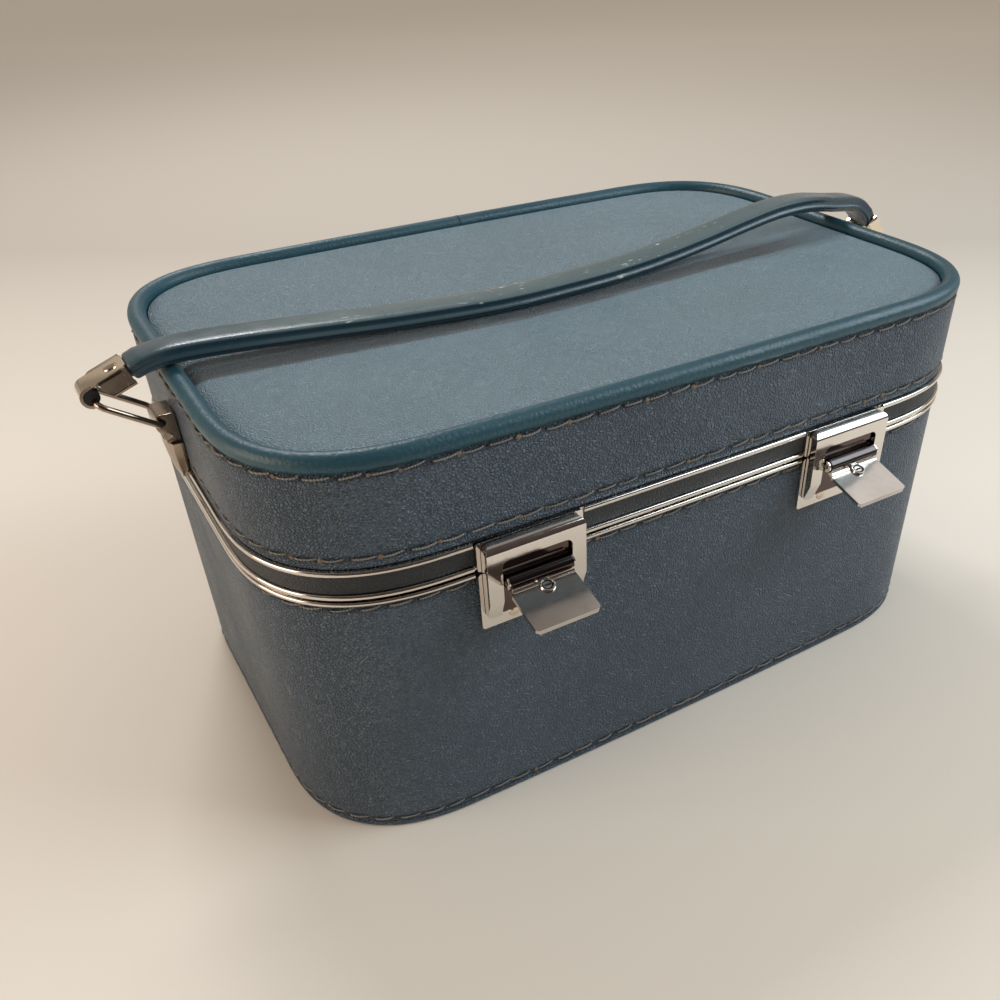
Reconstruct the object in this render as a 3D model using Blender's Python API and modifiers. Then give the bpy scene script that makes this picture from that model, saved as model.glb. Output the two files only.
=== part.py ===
"""Cosmetic train case: a hard vinyl case with a hinged lid, two flap latches and a carrying strap.

Metres, X to the right along the front, Y to the back, Z up, origin at the middle of the underside.
"""

import math

import bmesh
import bpy
from mathutils import Matrix, Vector

# Case outline seen from above: rounded corners on a box whose front and back bow out a little
CASE_WIDTH = 0.330
CASE_DEPTH = 0.2126
SIDE_BOW = 0.0027
CORNER_REACH = 0.0649
CORNER_POWER = 2.75
CORNER_STEPS = 7
BOW_STEPS = 2

# Heights of the line where lid and base part, and of the lid's flat top
PARTING_HEIGHT = 0.1158
PANEL_HEIGHT = 0.1670
PARTING_GAP = 0.0010

# Clearance between pieces that touch, and how far a cutter runs past what it cuts
FIT = 0.0003
OVERRUN = 0.0020
WELD_DISTANCE = 0.000001

# Sheets that make the walls, from the outside in
COVER_THICKNESS = 0.0010
BOARD_THICKNESS = 0.0033
LINING_THICKNESS = 0.0009
FLAT_BOARD_THICKNESS = 0.0030

# Round cords sewn into the edges
WELT_RADIUS = 0.0012
WELT_LIFT = 0.0002
WELT_SIDES = 8
PIPING_RADIUS = 0.0038
PIPING_INSET = 0.0034
PIPING_SINK = 0.0008
PIPING_SIDES = 14

# Metal edging round the opening
BEAD_PROUD = 0.0013
BEAD_CHAMFER = 0.0003
BASE_BEAD_HEIGHT = 0.0016
TONGUE_THICKNESS = 0.0008
TONGUE_RISE = 0.0050
LID_BEAD_HEIGHT = 0.0020
BAND_HEIGHT = 0.0075
WEB_THICKNESS = 0.0004
FLANGE_THICKNESS = 0.0010
STRIP_THICKNESS = 0.0005
BEAD_END_GAP = 0.0008

# Mirror inside the lid
MIRROR_WIDTH = 0.230
MIRROR_DEPTH = 0.125
MIRROR_THICKNESS = 0.0020
MIRROR_CORNER = 0.012
MIRROR_RIM_WIDTH = 0.008
MIRROR_RIM_LIP = 0.0006
ROUND_STEPS = 4

# Latches: places along the front, then sizes outwards from the wall and up or down from the parting line
LATCH_SPACING = 0.150
PLATE_WIDTH = 0.043
PLATE_THICKNESS = 0.0010
PLATE_RISE = 0.0120
PLATE_DROP = 0.0248
PLATE_CORNER = 0.0012
PLATE_HOLE_RADIUS = 0.0016
PLATE_HOLE_SPACING = 0.0170
PLATE_HOLE_RISE = 0.0036
BEZEL_WIDTH = 0.040
BEZEL_RISE = 0.0117
BEZEL_DROP = 0.0203
BEZEL_FACE = 0.0060
BEZEL_TOE = 0.0010
BEZEL_TAPER = 0.0085
BEZEL_BAR = 0.0070
BEZEL_EDGE = 0.0005
WINDOW_WIDTH = 0.0284
WINDOW_CORNER = 0.0016
HASP_BAR_WIDTH = 0.0266
HASP_BAR_HEIGHT = 0.0037
HASP_BAR_PROUD = 0.0028
HASP_TONGUE_WIDTH = 0.0220
HASP_TONGUE_DROP = 0.0193
HASP_TONGUE_THICKNESS = 0.0008
HASP_CURVE_DROP = 0.0048
SLOT_DROP = 0.0148
SLOT_HEIGHT = 0.0044
SLOT_WIDTH = 0.0100
PIVOT_OUT = 0.0068
PIVOT_DROP = 0.0038
PIN_RADIUS = 0.0008
PIN_SIDES = 12
EAR_THICKNESS = 0.0006
EAR_RADIUS = 0.0024
SPRING_INNER_RADIUS = 0.0011
SPRING_OUTER_RADIUS = 0.0016
KNUCKLE_RADIUS = 0.0033
KNUCKLE_BORE = 0.0019
KNUCKLE_WIDTH = 0.0252
KNUCKLE_STEPS = 20
FLAP_WIDTH = 0.0272
FLAP_LENGTH = 0.0200
FLAP_THICKNESS = 0.0015
FLAP_EDGE = 0.0003
FLAP_SLOPE_DEG = 15.0
FLAP_TRAVEL_DEG = 75.0
TOOTH_WIDTH = 0.0080
TOOTH_HEIGHT = 0.0020
TOOTH_TIP_GAP = 0.0002
PLUG_RADIUS = 0.0030
PLUG_PROUD = 0.0010
PLUG_OFFSET = 0.0057
PLUG_SIDES = 20
KEYWAY_WIDTH = 0.0009
KEYWAY_LENGTH = 0.0030
KEYWAY_DEPTH = 0.0014

# Rear hinges
HINGE_SPACING = 0.180
HINGE_WIDTH = 0.030
HINGE_AXIS_OUT = 0.0044
HINGE_KNUCKLE_RADIUS = 0.0023
HINGE_BORE = 0.0012
HINGE_PIN_RADIUS = 0.0009
HINGE_LEAF_THICKNESS = 0.0010
HINGE_LEAF_HEIGHT = 0.0135
HINGE_MIDDLE_SHARE = 0.36
HINGE_STEPS = 12

# Handle brackets on the lid's ends
BRACKET_HEIGHT = 0.0248
BRACKET_PROUD = 0.0076
BRACKET_HALF_WIDTH = 0.0074
BRACKET_EDGE = 0.0003
BRACKET_SIDE_SHARES = (
    (0.0, 0.0), (0.19, 0.0), (0.19, -0.18), (0.34, -0.18), (0.62, 0.36), (0.60, 0.52), (0.36, 0.64),
    (0.92, 0.72), (1.0, 0.79), (1.0, 0.93), (0.86, 0.99), (0.0, 1.0),
)
BRACKET_FRONT_SHARES = (
    (0.08, -0.18), (0.66, 0.12), (0.96, 0.36), (1.0, 0.50), (0.86, 0.64), (0.86, 1.0),
)
LINK_AXIS_OUT = 0.0055
LINK_AXIS_RISE_SHARE = 0.879

# Wire links, from the bracket's bore to the strap's clip
LINK_LENGTH = 0.0230
LINK_HALF_WIDTH = 0.0095
LINK_WIRE_RADIUS = 0.0012
LINK_CORNER = 0.0025
LINK_LEFT_SLOPE_DEG = 34.3
LINK_RIGHT_SLOPE_DEG = 4.0
LINK_SIDES_RESOLUTION = 2

# Clips on the strap's ends, along and across the strap from the link's outer bar
CLIP_LEFT_SLOPE_DEG = 20.0
CLIP_RIGHT_SLOPE_DEG = 52.0
CLIP_WIDTH = 0.0140
CLIP_LENGTH = 0.0160
CLIP_TAIL = 0.0028
CLIP_TOP = 0.0058
CLIP_BELOW = 0.0026
CLIP_SHEET = 0.0012
CLIP_EDGE = 0.0003
CLIP_PLAY = 0.0021
CLIP_PLAY_SLOPE_DEG = 46.0
CLIP_SIDE_SHARES = (
    (0.0, 0.42), (0.0, 0.10), (0.20, 0.0), (0.62, 0.12), (1.0, 0.24),
    (1.0, 1.0), (0.10, 1.0), (0.03, 0.74),
)
RIVET_ALONG = 0.0110
RIVET_HEAD_RADIUS = 0.0022
RIVET_HEAD_HEIGHT = 0.0008
RIVET_SHANK_RADIUS = 0.0009
RIVET_STEPS = 12

# Strap: section, then its route over the lid
STRAP_WIDTH = 0.0145
STRAP_THICKNESS = 0.0070
STRAP_TONGUE_THICKNESS = 0.0040
STRAP_TONGUE_REACH = 0.0020
STRAP_TONGUE_START = 0.0068
STRAP_CLIP_GAP = 0.0008
STRAP_LEAN = 0.0145
STRAP_SPAN_BEYOND = 0.0100
STRAP_SECTION_SHARES = (
    (0.38, 0.50), (0.47, 0.38), (0.50, 0.22), (0.46, 0.05), (0.50, -0.12), (0.46, -0.36), (0.36, -0.50),
)
STRAP_LEFT_ROUTE_SHARES = (
    (-0.914, -0.08, 1.00), (-0.80, -0.22, 1.00), (-0.64, -0.44, 0.73),
    (-0.43, -0.76, 0.33), (-0.19, -1.00, 0.09), (0.0, -0.93, 0.09),
)
STRAP_RIGHT_ROUTE_SHARES = (
    (0.0, -0.93, 0.09), (0.14, -0.82, 0.19), (0.28, -0.68, 0.58), (0.43, -0.52, 1.31), (0.57, -0.38, 2.25),
    (0.686, -0.28, 2.75), (0.80, -0.18, 2.64), (0.914, -0.07, 1.75), (1.0, -0.01, 1.03),
)
STRAP_STEPS = 3

# Colour, roughness and metallic value of each finish
FINISHES = {
    "wall_vinyl": ((0.085, 0.130, 0.165), 0.55, 0.0),
    "top_vinyl": ((0.170, 0.260, 0.300), 0.55, 0.0),
    "piping_vinyl": ((0.075, 0.190, 0.230), 0.40, 0.0),
    "strap_vinyl": ((0.110, 0.190, 0.210), 0.45, 0.0),
    "board": ((0.420, 0.330, 0.220), 0.85, 0.0),
    "foam": ((0.700, 0.660, 0.560), 0.95, 0.0),
    "lining": ((0.260, 0.420, 0.480), 0.80, 0.0),
    "chrome": ((0.780, 0.770, 0.750), 0.12, 1.0),
    "dark_steel": ((0.300, 0.300, 0.300), 0.35, 1.0),
    "mirror": ((0.900, 0.900, 0.900), 0.02, 1.0),
}

# Sizes that follow from the ones above
BOARD_INSET = COVER_THICKNESS + FIT
BOARD_INNER = BOARD_INSET + BOARD_THICKNESS
LINING_INSET = BOARD_INNER + FIT
LINING_INNER = LINING_INSET + LINING_THICKNESS
BASE_RIM = PARTING_HEIGHT - PARTING_GAP / 2
LID_RIM = PARTING_HEIGHT + PARTING_GAP / 2
BASE_WALL_TOP = BASE_RIM - BASE_BEAD_HEIGHT - FIT
BASE_WALL_BOTTOM = WELT_LIFT + 2 * WELT_RADIUS + FIT
BASE_FLOOR_BOTTOM = COVER_THICKNESS + FIT
BASE_FLOOR_TOP = BASE_FLOOR_BOTTOM + FLAT_BOARD_THICKNESS
LID_BAND_TOP = LID_RIM + 2 * LID_BEAD_HEIGHT + BAND_HEIGHT
LID_WALL_BOTTOM = LID_RIM + FLANGE_THICKNESS + FIT
PIPING_HEIGHT = PANEL_HEIGHT - PIPING_SINK
LID_BOARD_TOP = PIPING_HEIGHT - PIPING_RADIUS - FIT
LID_BOARD_BOTTOM = LID_BOARD_TOP - FLAT_BOARD_THICKNESS
LID_LINING_TOP = LID_BOARD_BOTTOM - FIT
PANEL_INSET = PIPING_INSET + PIPING_RADIUS + FIT
STRIP_PROUD = STRIP_THICKNESS + FIT - (COVER_THICKNESS - WEB_THICKNESS)
PLATE_BACK = STRIP_PROUD + FIT
PLATE_FRONT = PLATE_BACK + PLATE_THICKNESS
STRAP_LIFT = PIPING_HEIGHT + PIPING_RADIUS - PANEL_HEIGHT + 2 * FIT
STRAP_HALF_SPAN = CASE_WIDTH / 2 + STRAP_SPAN_BEYOND
HALF_TURN = math.pi
LEFT, RIGHT = -1, 1
FRONT, BACK = -1, 1


def clear_scene():
    for old in list(bpy.data.objects):
        bpy.data.objects.remove(old, do_unlink=True)


def new_collection(name):
    collection = bpy.data.collections.new(name)
    bpy.context.scene.collection.children.link(collection)
    return collection


def finish_material(node, finish):
    colour, roughness, metallic = FINISHES[finish]
    material = bpy.data.materials.new(node)
    material.use_nodes = True
    shader = material.node_tree.nodes["Principled BSDF"]
    shader.inputs["Base Color"].default_value = (*colour, 1.0)
    shader.inputs["Roughness"].default_value = roughness
    shader.inputs["Metallic"].default_value = metallic
    return material


def as_part(obj, finish):
    """Puts a shape among the case's parts, with a material of its own."""
    PARTS.objects.link(obj)
    obj.data.materials.clear()
    obj.data.materials.append(finish_material(obj.name, finish))
    return obj


def as_tool(obj):
    """Keeps a shape only as a cutter or a guide."""
    TOOLS.objects.link(obj)
    obj.hide_render = True
    obj.display_type = "WIRE"
    return obj


def axes_matrix(origin, x_axis, y_axis):
    """A place whose local X and Y run along two given directions."""
    x_dir = Vector(x_axis).normalized()
    y_dir = Vector(y_axis).normalized()
    z_dir = x_dir.cross(y_dir)
    turn = Matrix((x_dir, y_dir, z_dir)).transposed().to_4x4()
    return Matrix.Translation(Vector(origin)) @ turn


def add_loop(curve, points):
    spline = curve.splines.new("POLY")
    spline.points.add(len(points) - 1)
    for slot, point in zip(spline.points, points):
        slot.co = (*point, 1.0) if len(point) == 3 else (*point, 0.0, 1.0)
    spline.use_cyclic_u = True
    return spline


def flat_shape(name, loops, thickness, place):
    """A plate cut from sheet: closed outlines in its own XY plane, centred on that plane."""
    curve = bpy.data.curves.new(name, "CURVE")
    curve.dimensions = "2D"
    curve.fill_mode = "BOTH"
    curve.extrude = thickness / 2
    for loop in loops:
        add_loop(curve, loop)
    obj = bpy.data.objects.new(name, curve)
    obj.matrix_world = place
    return obj


def as_mesh(obj):
    """The same shape as a closed mesh, so that it can be cut."""
    bpy.context.scene.collection.objects.link(obj)
    bpy.context.view_layer.update()
    ready = obj.evaluated_get(bpy.context.evaluated_depsgraph_get())
    mesh = bpy.data.meshes.new_from_object(ready)
    solid = bmesh.new()
    solid.from_mesh(mesh)
    bmesh.ops.remove_doubles(solid, verts=solid.verts, dist=WELD_DISTANCE)
    bmesh.ops.recalc_face_normals(solid, faces=solid.faces)
    solid.to_mesh(mesh)
    solid.free()
    name = obj.name
    place = obj.matrix_world.copy()
    bpy.data.objects.remove(obj)
    made = bpy.data.objects.new(name, mesh)
    made.matrix_world = place
    return made


def combine(target, other, operation):
    """A Boolean with a shape that is kept as a tool."""
    step = target.modifiers.new(operation.title(), "BOOLEAN")
    step.operation = operation
    step.solver = "EXACT"
    step.object = other
    return target


def soften(target, width):
    """Small bevels on the sharp edges."""
    step = target.modifiers.new("Bevel", "BEVEL")
    step.width = width
    step.segments = 1
    step.limit_method = "ANGLE"
    step.harden_normals = False
    return target


def box(name, low, high):
    """A box between two corners."""
    mesh = bpy.data.meshes.new(name)
    solid = bmesh.new()
    bmesh.ops.create_cube(solid, size=1.0)
    size = [top - bottom for bottom, top in zip(low, high)]
    bmesh.ops.scale(solid, vec=size, verts=solid.verts)
    solid.to_mesh(mesh)
    solid.free()
    obj = bpy.data.objects.new(name, mesh)
    obj.location = [(bottom + top) / 2 for bottom, top in zip(low, high)]
    return obj


def rod(name, radius, length, centre, axis, sides=PIN_SIDES):
    """A round bar about a point."""
    mesh = bpy.data.meshes.new(name)
    solid = bmesh.new()
    bmesh.ops.create_cone(
        solid, cap_ends=True, segments=sides, radius1=radius, radius2=radius, depth=length
    )
    solid.to_mesh(mesh)
    solid.free()
    mesh.shade_smooth()
    mesh.set_sharp_from_angle(angle=HALF_TURN / 6)
    obj = bpy.data.objects.new(name, mesh)
    turn = Vector((0, 0, 1)).rotation_difference(Vector(axis)).to_matrix().to_4x4()
    obj.matrix_world = Matrix.Translation(Vector(centre)) @ turn
    return obj


def arc(centre, radius, start, end, steps):
    """Points on a circle, angles in radians."""
    angles = [start + (end - start) * step / steps for step in range(steps + 1)]
    return [(centre[0] + radius * math.cos(a), centre[1] + radius * math.sin(a)) for a in angles]


def circle(centre, radius, steps, turn_share=0.0):
    """A closed circle whose first point may be turned by a share of one step."""
    start = 2 * HALF_TURN / steps * turn_share
    return arc(centre, radius, start, start + 2 * HALF_TURN, steps)[:-1]


def rounded_rectangle(width, depth, corner, steps=ROUND_STEPS):
    """Counter-clockwise from the right-hand side."""
    points = []
    for quadrant, (side_x, side_y) in enumerate(((1, 1), (-1, 1), (-1, -1), (1, -1))):
        centre = (side_x * (width / 2 - corner), side_y * (depth / 2 - corner))
        start = quadrant * HALF_TURN / 2
        points += arc(centre, corner, start, start + HALF_TURN / 2, steps)
    return points


def bowed(x, y):
    """Moves a point of the plain outline out by the bow of the front and back."""
    hub = CASE_DEPTH / 2 - CORNER_REACH
    fade = min(max((y - hub) / CORNER_REACH, 0.0), 1.0)
    return x, y + SIDE_BOW * (1 - (2 * x / CASE_WIDTH) ** 2) * fade


def wall_face(x):
    """How far the front or back face stands from the middle plane at a place along it."""
    return bowed(x, CASE_DEPTH / 2)[1]


def outer_outline():
    """The wall's face seen from above, counter-clockwise, with even turns between corner points."""
    hub_x = CASE_WIDTH / 2 - CORNER_REACH
    hub_y = CASE_DEPTH / 2 - CORNER_REACH
    evenness = CORNER_POWER / (CORNER_POWER - 1) / 2
    quarter = []
    for step in range(CORNER_STEPS + 1):
        turn = HALF_TURN / 2 * step / CORNER_STEPS
        angle = math.atan2(math.sin(turn) ** evenness, max(math.cos(turn), 0.0) ** evenness)
        across = max(math.cos(angle), 0.0) ** (2 / CORNER_POWER)
        along = math.sin(angle) ** (2 / CORNER_POWER)
        quarter.append((hub_x + CORNER_REACH * across, hub_y + CORNER_REACH * along))
    for step in range(1, BOW_STEPS + 1):
        quarter.append((hub_x * (1 - step / BOW_STEPS), CASE_DEPTH / 2))
    quarter = [bowed(x, y) for x, y in quarter]
    left = [(-x, y) for x, y in reversed(quarter[:-1])]
    front_left = [(-x, -y) for x, y in quarter]
    front_right = [(x, -y) for x, y in reversed(quarter[:-1])]
    return quarter + left + front_left + front_right


def inset_outline(inset):
    """The outline moved inwards so that every side moves by the same distance."""
    points = [Vector(point) for point in outer_outline()]
    moved = []
    for here, point in enumerate(points):
        before = (point - points[here - 1]).normalized()
        after = (points[(here + 1) % len(points)] - point).normalized()
        first = Vector((-before.y, before.x))
        second = Vector((-after.y, after.x))
        moved.append(tuple(point + (first + second) * (inset / (1 + first.dot(second)))))
    return moved


def upright(height):
    return Matrix.Translation((0, 0, height))


def wall_ring(name, inset, inner, low, high, finish):
    """An upright band that follows the case's outline."""
    loops = [inset_outline(inset), inset_outline(inner)]
    return as_part(flat_shape(name, loops, high - low, upright((low + high) / 2)), finish)


def flat_panel(name, inset, low, high, finish):
    """A level sheet that follows the case's outline."""
    shape = flat_shape(name, [inset_outline(inset)], high - low, upright((low + high) / 2))
    return as_part(shape, finish)


def swept_ring(name, profile):
    """A section carried round the outline: distances out from the wall's face, and heights."""
    section = bpy.data.curves.new(name + "_section", "CURVE")
    section.dimensions = "2D"
    add_loop(section, list(profile))
    guide = as_tool(bpy.data.objects.new(name + "_section", section))
    path = bpy.data.curves.new(name, "CURVE")
    path.dimensions = "3D"
    path.twist_mode = "Z_UP"
    path.bevel_mode = "OBJECT"
    path.bevel_object = guide
    add_loop(path, [(x, y, 0.0) for x, y in outer_outline()])
    return as_mesh(bpy.data.objects.new(name, path))


def round_section(inset, height, radius, sides):
    return circle((-inset, height), radius, sides)


def bead_cutters():
    """Blocks that take the beads away where a latch or a hinge sits flat on the edging."""
    places = [(side * LATCH_SPACING / 2, FRONT, PLATE_WIDTH) for side in (LEFT, RIGHT)]
    places += [(side * HINGE_SPACING / 2, BACK, HINGE_WIDTH) for side in (LEFT, RIGHT)]
    cutters = []
    for number, (x, face, width) in enumerate(places):
        half = width / 2 + BEAD_END_GAP
        near = wall_face(abs(x) - width / 2) + STRIP_PROUD
        far = near + BEAD_PROUD + OVERRUN
        low = (x - half, min(face * near, face * far), BASE_WALL_TOP - OVERRUN)
        high = (x + half, max(face * near, face * far), LID_BAND_TOP + OVERRUN)
        cutters.append(as_tool(box(f"bead_cutter_{number}", low, high)))
    return cutters


def base_shell():
    """The lower box: boards, vinyl, lining, floor and the edging with its locating tongue."""
    wall_ring("base_wall_cover", 0.0, COVER_THICKNESS, BASE_WALL_BOTTOM, BASE_WALL_TOP, "wall_vinyl")
    wall_ring("base_wall_board", BOARD_INSET, BOARD_INNER, BASE_WALL_BOTTOM, BASE_WALL_TOP, "board")
    lining_low = BASE_FLOOR_TOP + FIT
    wall_ring("base_wall_lining", LINING_INSET, LINING_INNER, lining_low, BASE_WALL_TOP, "lining")
    flat_panel("base_bottom_cover", 2 * WELT_RADIUS + FIT, 0.0, COVER_THICKNESS, "wall_vinyl")
    flat_panel("base_bottom_board", LINING_INSET, BASE_FLOOR_BOTTOM, BASE_FLOOR_TOP, "board")
    floor_inset = LINING_INNER + FIT
    flat_panel("base_floor_lining", floor_inset, lining_low, lining_low + LINING_THICKNESS, "lining")
    welt_height = WELT_LIFT + WELT_RADIUS
    welt = swept_ring("base_welt", round_section(WELT_RADIUS, welt_height, WELT_RADIUS, WELT_SIDES))
    as_part(welt, "piping_vinyl")


def base_edging():
    """Metal edging of the base: one bead outside and a tongue that the lid closes over."""
    low = BASE_RIM - BASE_BEAD_HEIGHT
    tongue_out = LINING_INNER + FIT
    tongue_in = tongue_out + TONGUE_THICKNESS
    profile = [
        (BEAD_PROUD - BEAD_CHAMFER, low),
        (BEAD_PROUD, low + BEAD_CHAMFER),
        (BEAD_PROUD, BASE_RIM - BEAD_CHAMFER),
        (BEAD_PROUD - BEAD_CHAMFER, BASE_RIM),
        (-tongue_out, BASE_RIM),
        (-tongue_out, BASE_RIM + TONGUE_RISE),
        (-tongue_in, BASE_RIM + TONGUE_RISE),
        (-tongue_in, low),
    ]
    return as_part(swept_ring("base_valance", profile), "chrome")


def lid_edging():
    """Metal edging of the lid: two beads with a channel between them for the vinyl strip."""
    low = LID_RIM
    floor = -(COVER_THICKNESS - WEB_THICKNESS)
    first = low + LID_BEAD_HEIGHT
    second = first + BAND_HEIGHT
    top = second + LID_BEAD_HEIGHT
    flange = low + FLANGE_THICKNESS
    profile = [
        (-LINING_INNER, low),
        (BEAD_PROUD - BEAD_CHAMFER, low),
        (BEAD_PROUD, low + BEAD_CHAMFER),
        (BEAD_PROUD, first - BEAD_CHAMFER),
        (BEAD_PROUD - BEAD_CHAMFER, first),
        (floor, first),
        (floor, second),
        (BEAD_PROUD - BEAD_CHAMFER, second),
        (BEAD_PROUD, second + BEAD_CHAMFER),
        (BEAD_PROUD, top - BEAD_CHAMFER),
        (BEAD_PROUD - BEAD_CHAMFER, top),
        (-COVER_THICKNESS, top),
        (-COVER_THICKNESS, flange),
        (-LINING_INNER, flange),
    ]
    return as_part(swept_ring("lid_valance", profile), "chrome")


def lid_shell():
    """The upper box: boards, vinyl, padded top, piping, lining and mirror."""
    reach = PIPING_INSET - COVER_THICKNESS
    under_piping = PIPING_HEIGHT - math.sqrt(PIPING_RADIUS**2 - reach**2) - FIT
    cover_low = LID_BAND_TOP + FIT
    wall_ring("lid_wall_cover", 0.0, COVER_THICKNESS, cover_low, under_piping, "wall_vinyl")
    wall_ring("lid_wall_board", BOARD_INSET, BOARD_INNER, LID_WALL_BOTTOM, LID_BOARD_TOP, "board")
    wall_ring("lid_wall_lining", LINING_INSET, LINING_INNER, LID_WALL_BOTTOM, LID_LINING_TOP, "lining")
    flat_panel("lid_top_board", LINING_INSET, LID_BOARD_BOTTOM, LID_BOARD_TOP, "board")
    pad_top = PANEL_HEIGHT - COVER_THICKNESS - FIT
    flat_panel("lid_top_pad", PANEL_INSET, LID_BOARD_TOP + FIT, pad_top, "foam")
    flat_panel("lid_top_cover", PANEL_INSET, pad_top + FIT, PANEL_HEIGHT, "top_vinyl")
    ceiling = LID_LINING_TOP - LINING_THICKNESS
    flat_panel("lid_top_lining", LINING_INNER + FIT, ceiling, LID_LINING_TOP, "lining")
    section = round_section(PIPING_INSET, PIPING_HEIGHT, PIPING_RADIUS, PIPING_SIDES)
    as_part(swept_ring("lid_piping", section), "piping_vinyl")
    strip_low = LID_RIM + LID_BEAD_HEIGHT + FIT
    strip_high = strip_low + BAND_HEIGHT - 2 * FIT
    strip_inner = STRIP_THICKNESS - STRIP_PROUD
    wall_ring("lid_valance_strip", -STRIP_PROUD, strip_inner, strip_low, strip_high, "piping_vinyl")
    mirror(ceiling - FIT)


def mirror(top):
    """The looking glass under the lid and the rim that holds it."""
    glass = rounded_rectangle(MIRROR_WIDTH, MIRROR_DEPTH, MIRROR_CORNER)
    middle = upright(top - MIRROR_THICKNESS / 2)
    as_part(flat_shape("lid_mirror", [glass], MIRROR_THICKNESS, middle), "mirror")
    inner_w = MIRROR_WIDTH + 2 * FIT
    inner_d = MIRROR_DEPTH + 2 * FIT
    inner = rounded_rectangle(inner_w, inner_d, MIRROR_CORNER + FIT)
    rim_corner = MIRROR_CORNER + MIRROR_RIM_WIDTH
    outer = rounded_rectangle(inner_w + 2 * MIRROR_RIM_WIDTH, inner_d + 2 * MIRROR_RIM_WIDTH, rim_corner)
    depth = MIRROR_THICKNESS + MIRROR_RIM_LIP
    rim = flat_shape("lid_mirror_rim", [outer, inner], depth, upright(top - depth / 2))
    as_part(rim, "chrome")


def latch_side(x):
    """A place at a latch where local X runs out from the wall and local Y runs up."""
    seat = wall_face(abs(x) - PLATE_WIDTH / 2)
    return axes_matrix((x, -seat, 0), (0, -1, 0), (0, 0, 1))


def latch_front(x, out):
    """A place at a latch where local X runs along the wall and local Y runs up."""
    seat = wall_face(abs(x) - PLATE_WIDTH / 2)
    return axes_matrix((x, -seat - out, 0), (1, 0, 0), (0, 0, 1))


def latch_box(name, x, width, out, height):
    """A box at a latch, given by its width and its ranges outwards and upwards."""
    seat = wall_face(abs(x) - PLATE_WIDTH / 2)
    low = (x - width / 2, -seat - out[1], height[0])
    high = (x + width / 2, -seat - out[0], height[1])
    return box(name, low, high)


def shifted(points, up):
    return [(x, y + up) for x, y in points]


def latch_plate(name, x, low, high):
    outline = rounded_rectangle(PLATE_WIDTH, high - low, PLATE_CORNER, steps=2)
    place = latch_front(x, (PLATE_BACK + PLATE_FRONT) / 2)
    return flat_shape(name, [shifted(outline, (low + high) / 2)], PLATE_THICKNESS, place)


def latch_lid_plate(name, x):
    high = PARTING_HEIGHT + PLATE_RISE
    return as_part(latch_plate(name, x, LID_RIM, high), "chrome")


def latch_base_plate(name, x):
    """The plate on the base, with two ears that carry the flap's pin."""
    low = PARTING_HEIGHT - PLATE_DROP
    plate = as_part(as_mesh(latch_plate(name, x, low, BASE_RIM)), "chrome")
    pivot = (PIVOT_OUT, PARTING_HEIGHT - PIVOT_DROP)
    ear_top = min(pivot[1] + EAR_RADIUS, BASE_RIM)
    ear_outline = [
        (PLATE_FRONT - PLATE_THICKNESS / 2, pivot[1] - EAR_RADIUS),
        *arc(pivot, EAR_RADIUS, -HALF_TURN / 2, HALF_TURN / 2, KNUCKLE_STEPS // 2),
        (PLATE_FRONT - PLATE_THICKNESS / 2, ear_top),
    ]
    hole = circle(pivot, PIN_RADIUS + FIT, PIN_SIDES)
    offset = KNUCKLE_WIDTH / 2 + FIT + EAR_THICKNESS / 2
    for side in (LEFT, RIGHT):
        place = latch_side(x)
        place.translation.x += side * offset
        ear = as_mesh(flat_shape(f"{name}_ear_{side}", [ear_outline, hole], EAR_THICKNESS, place))
        combine(plate, as_tool(ear), "UNION")
        hole_x = x + side * PLATE_HOLE_SPACING / 2
        seat = -wall_face(abs(x) - PLATE_WIDTH / 2) - PLATE_BACK
        centre = (hole_x, seat, low + PLATE_HOLE_RISE)
        depth = 2 * PLATE_THICKNESS + OVERRUN
        drill = rod(f"{name}_hole_{side}", PLATE_HOLE_RADIUS, depth, centre, (0, 1, 0))
        combine(plate, as_tool(drill), "DIFFERENCE")
    return plate


def latch_bezel(name, x):
    """The raised frame, open at its foot, whose legs come back to the plate."""
    back = PLATE_FRONT + FIT
    top = PARTING_HEIGHT + BEZEL_RISE
    foot = PARTING_HEIGHT - BEZEL_DROP
    side = [
        (back, foot),
        (back + BEZEL_TOE, foot),
        (BEZEL_FACE, foot + BEZEL_TAPER),
        (BEZEL_FACE, top - BEZEL_TOE / 2),
        (BEZEL_FACE - BEZEL_TOE / 2, top),
        (back, top),
    ]
    frame = as_mesh(flat_shape(name, [side], BEZEL_WIDTH, latch_side(x)))
    window_top = top - BEZEL_BAR
    window_low = foot - OVERRUN - WINDOW_CORNER
    outline = rounded_rectangle(WINDOW_WIDTH, window_top - window_low, WINDOW_CORNER)
    place = latch_front(x, BEZEL_FACE / 2)
    loops = [shifted(outline, (window_top + window_low) / 2)]
    window = as_mesh(flat_shape(name + "_window", loops, 2 * BEZEL_FACE, place))
    combine(frame, as_tool(window), "DIFFERENCE")
    soften(frame, BEZEL_EDGE)
    return as_part(frame, "chrome")


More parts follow.
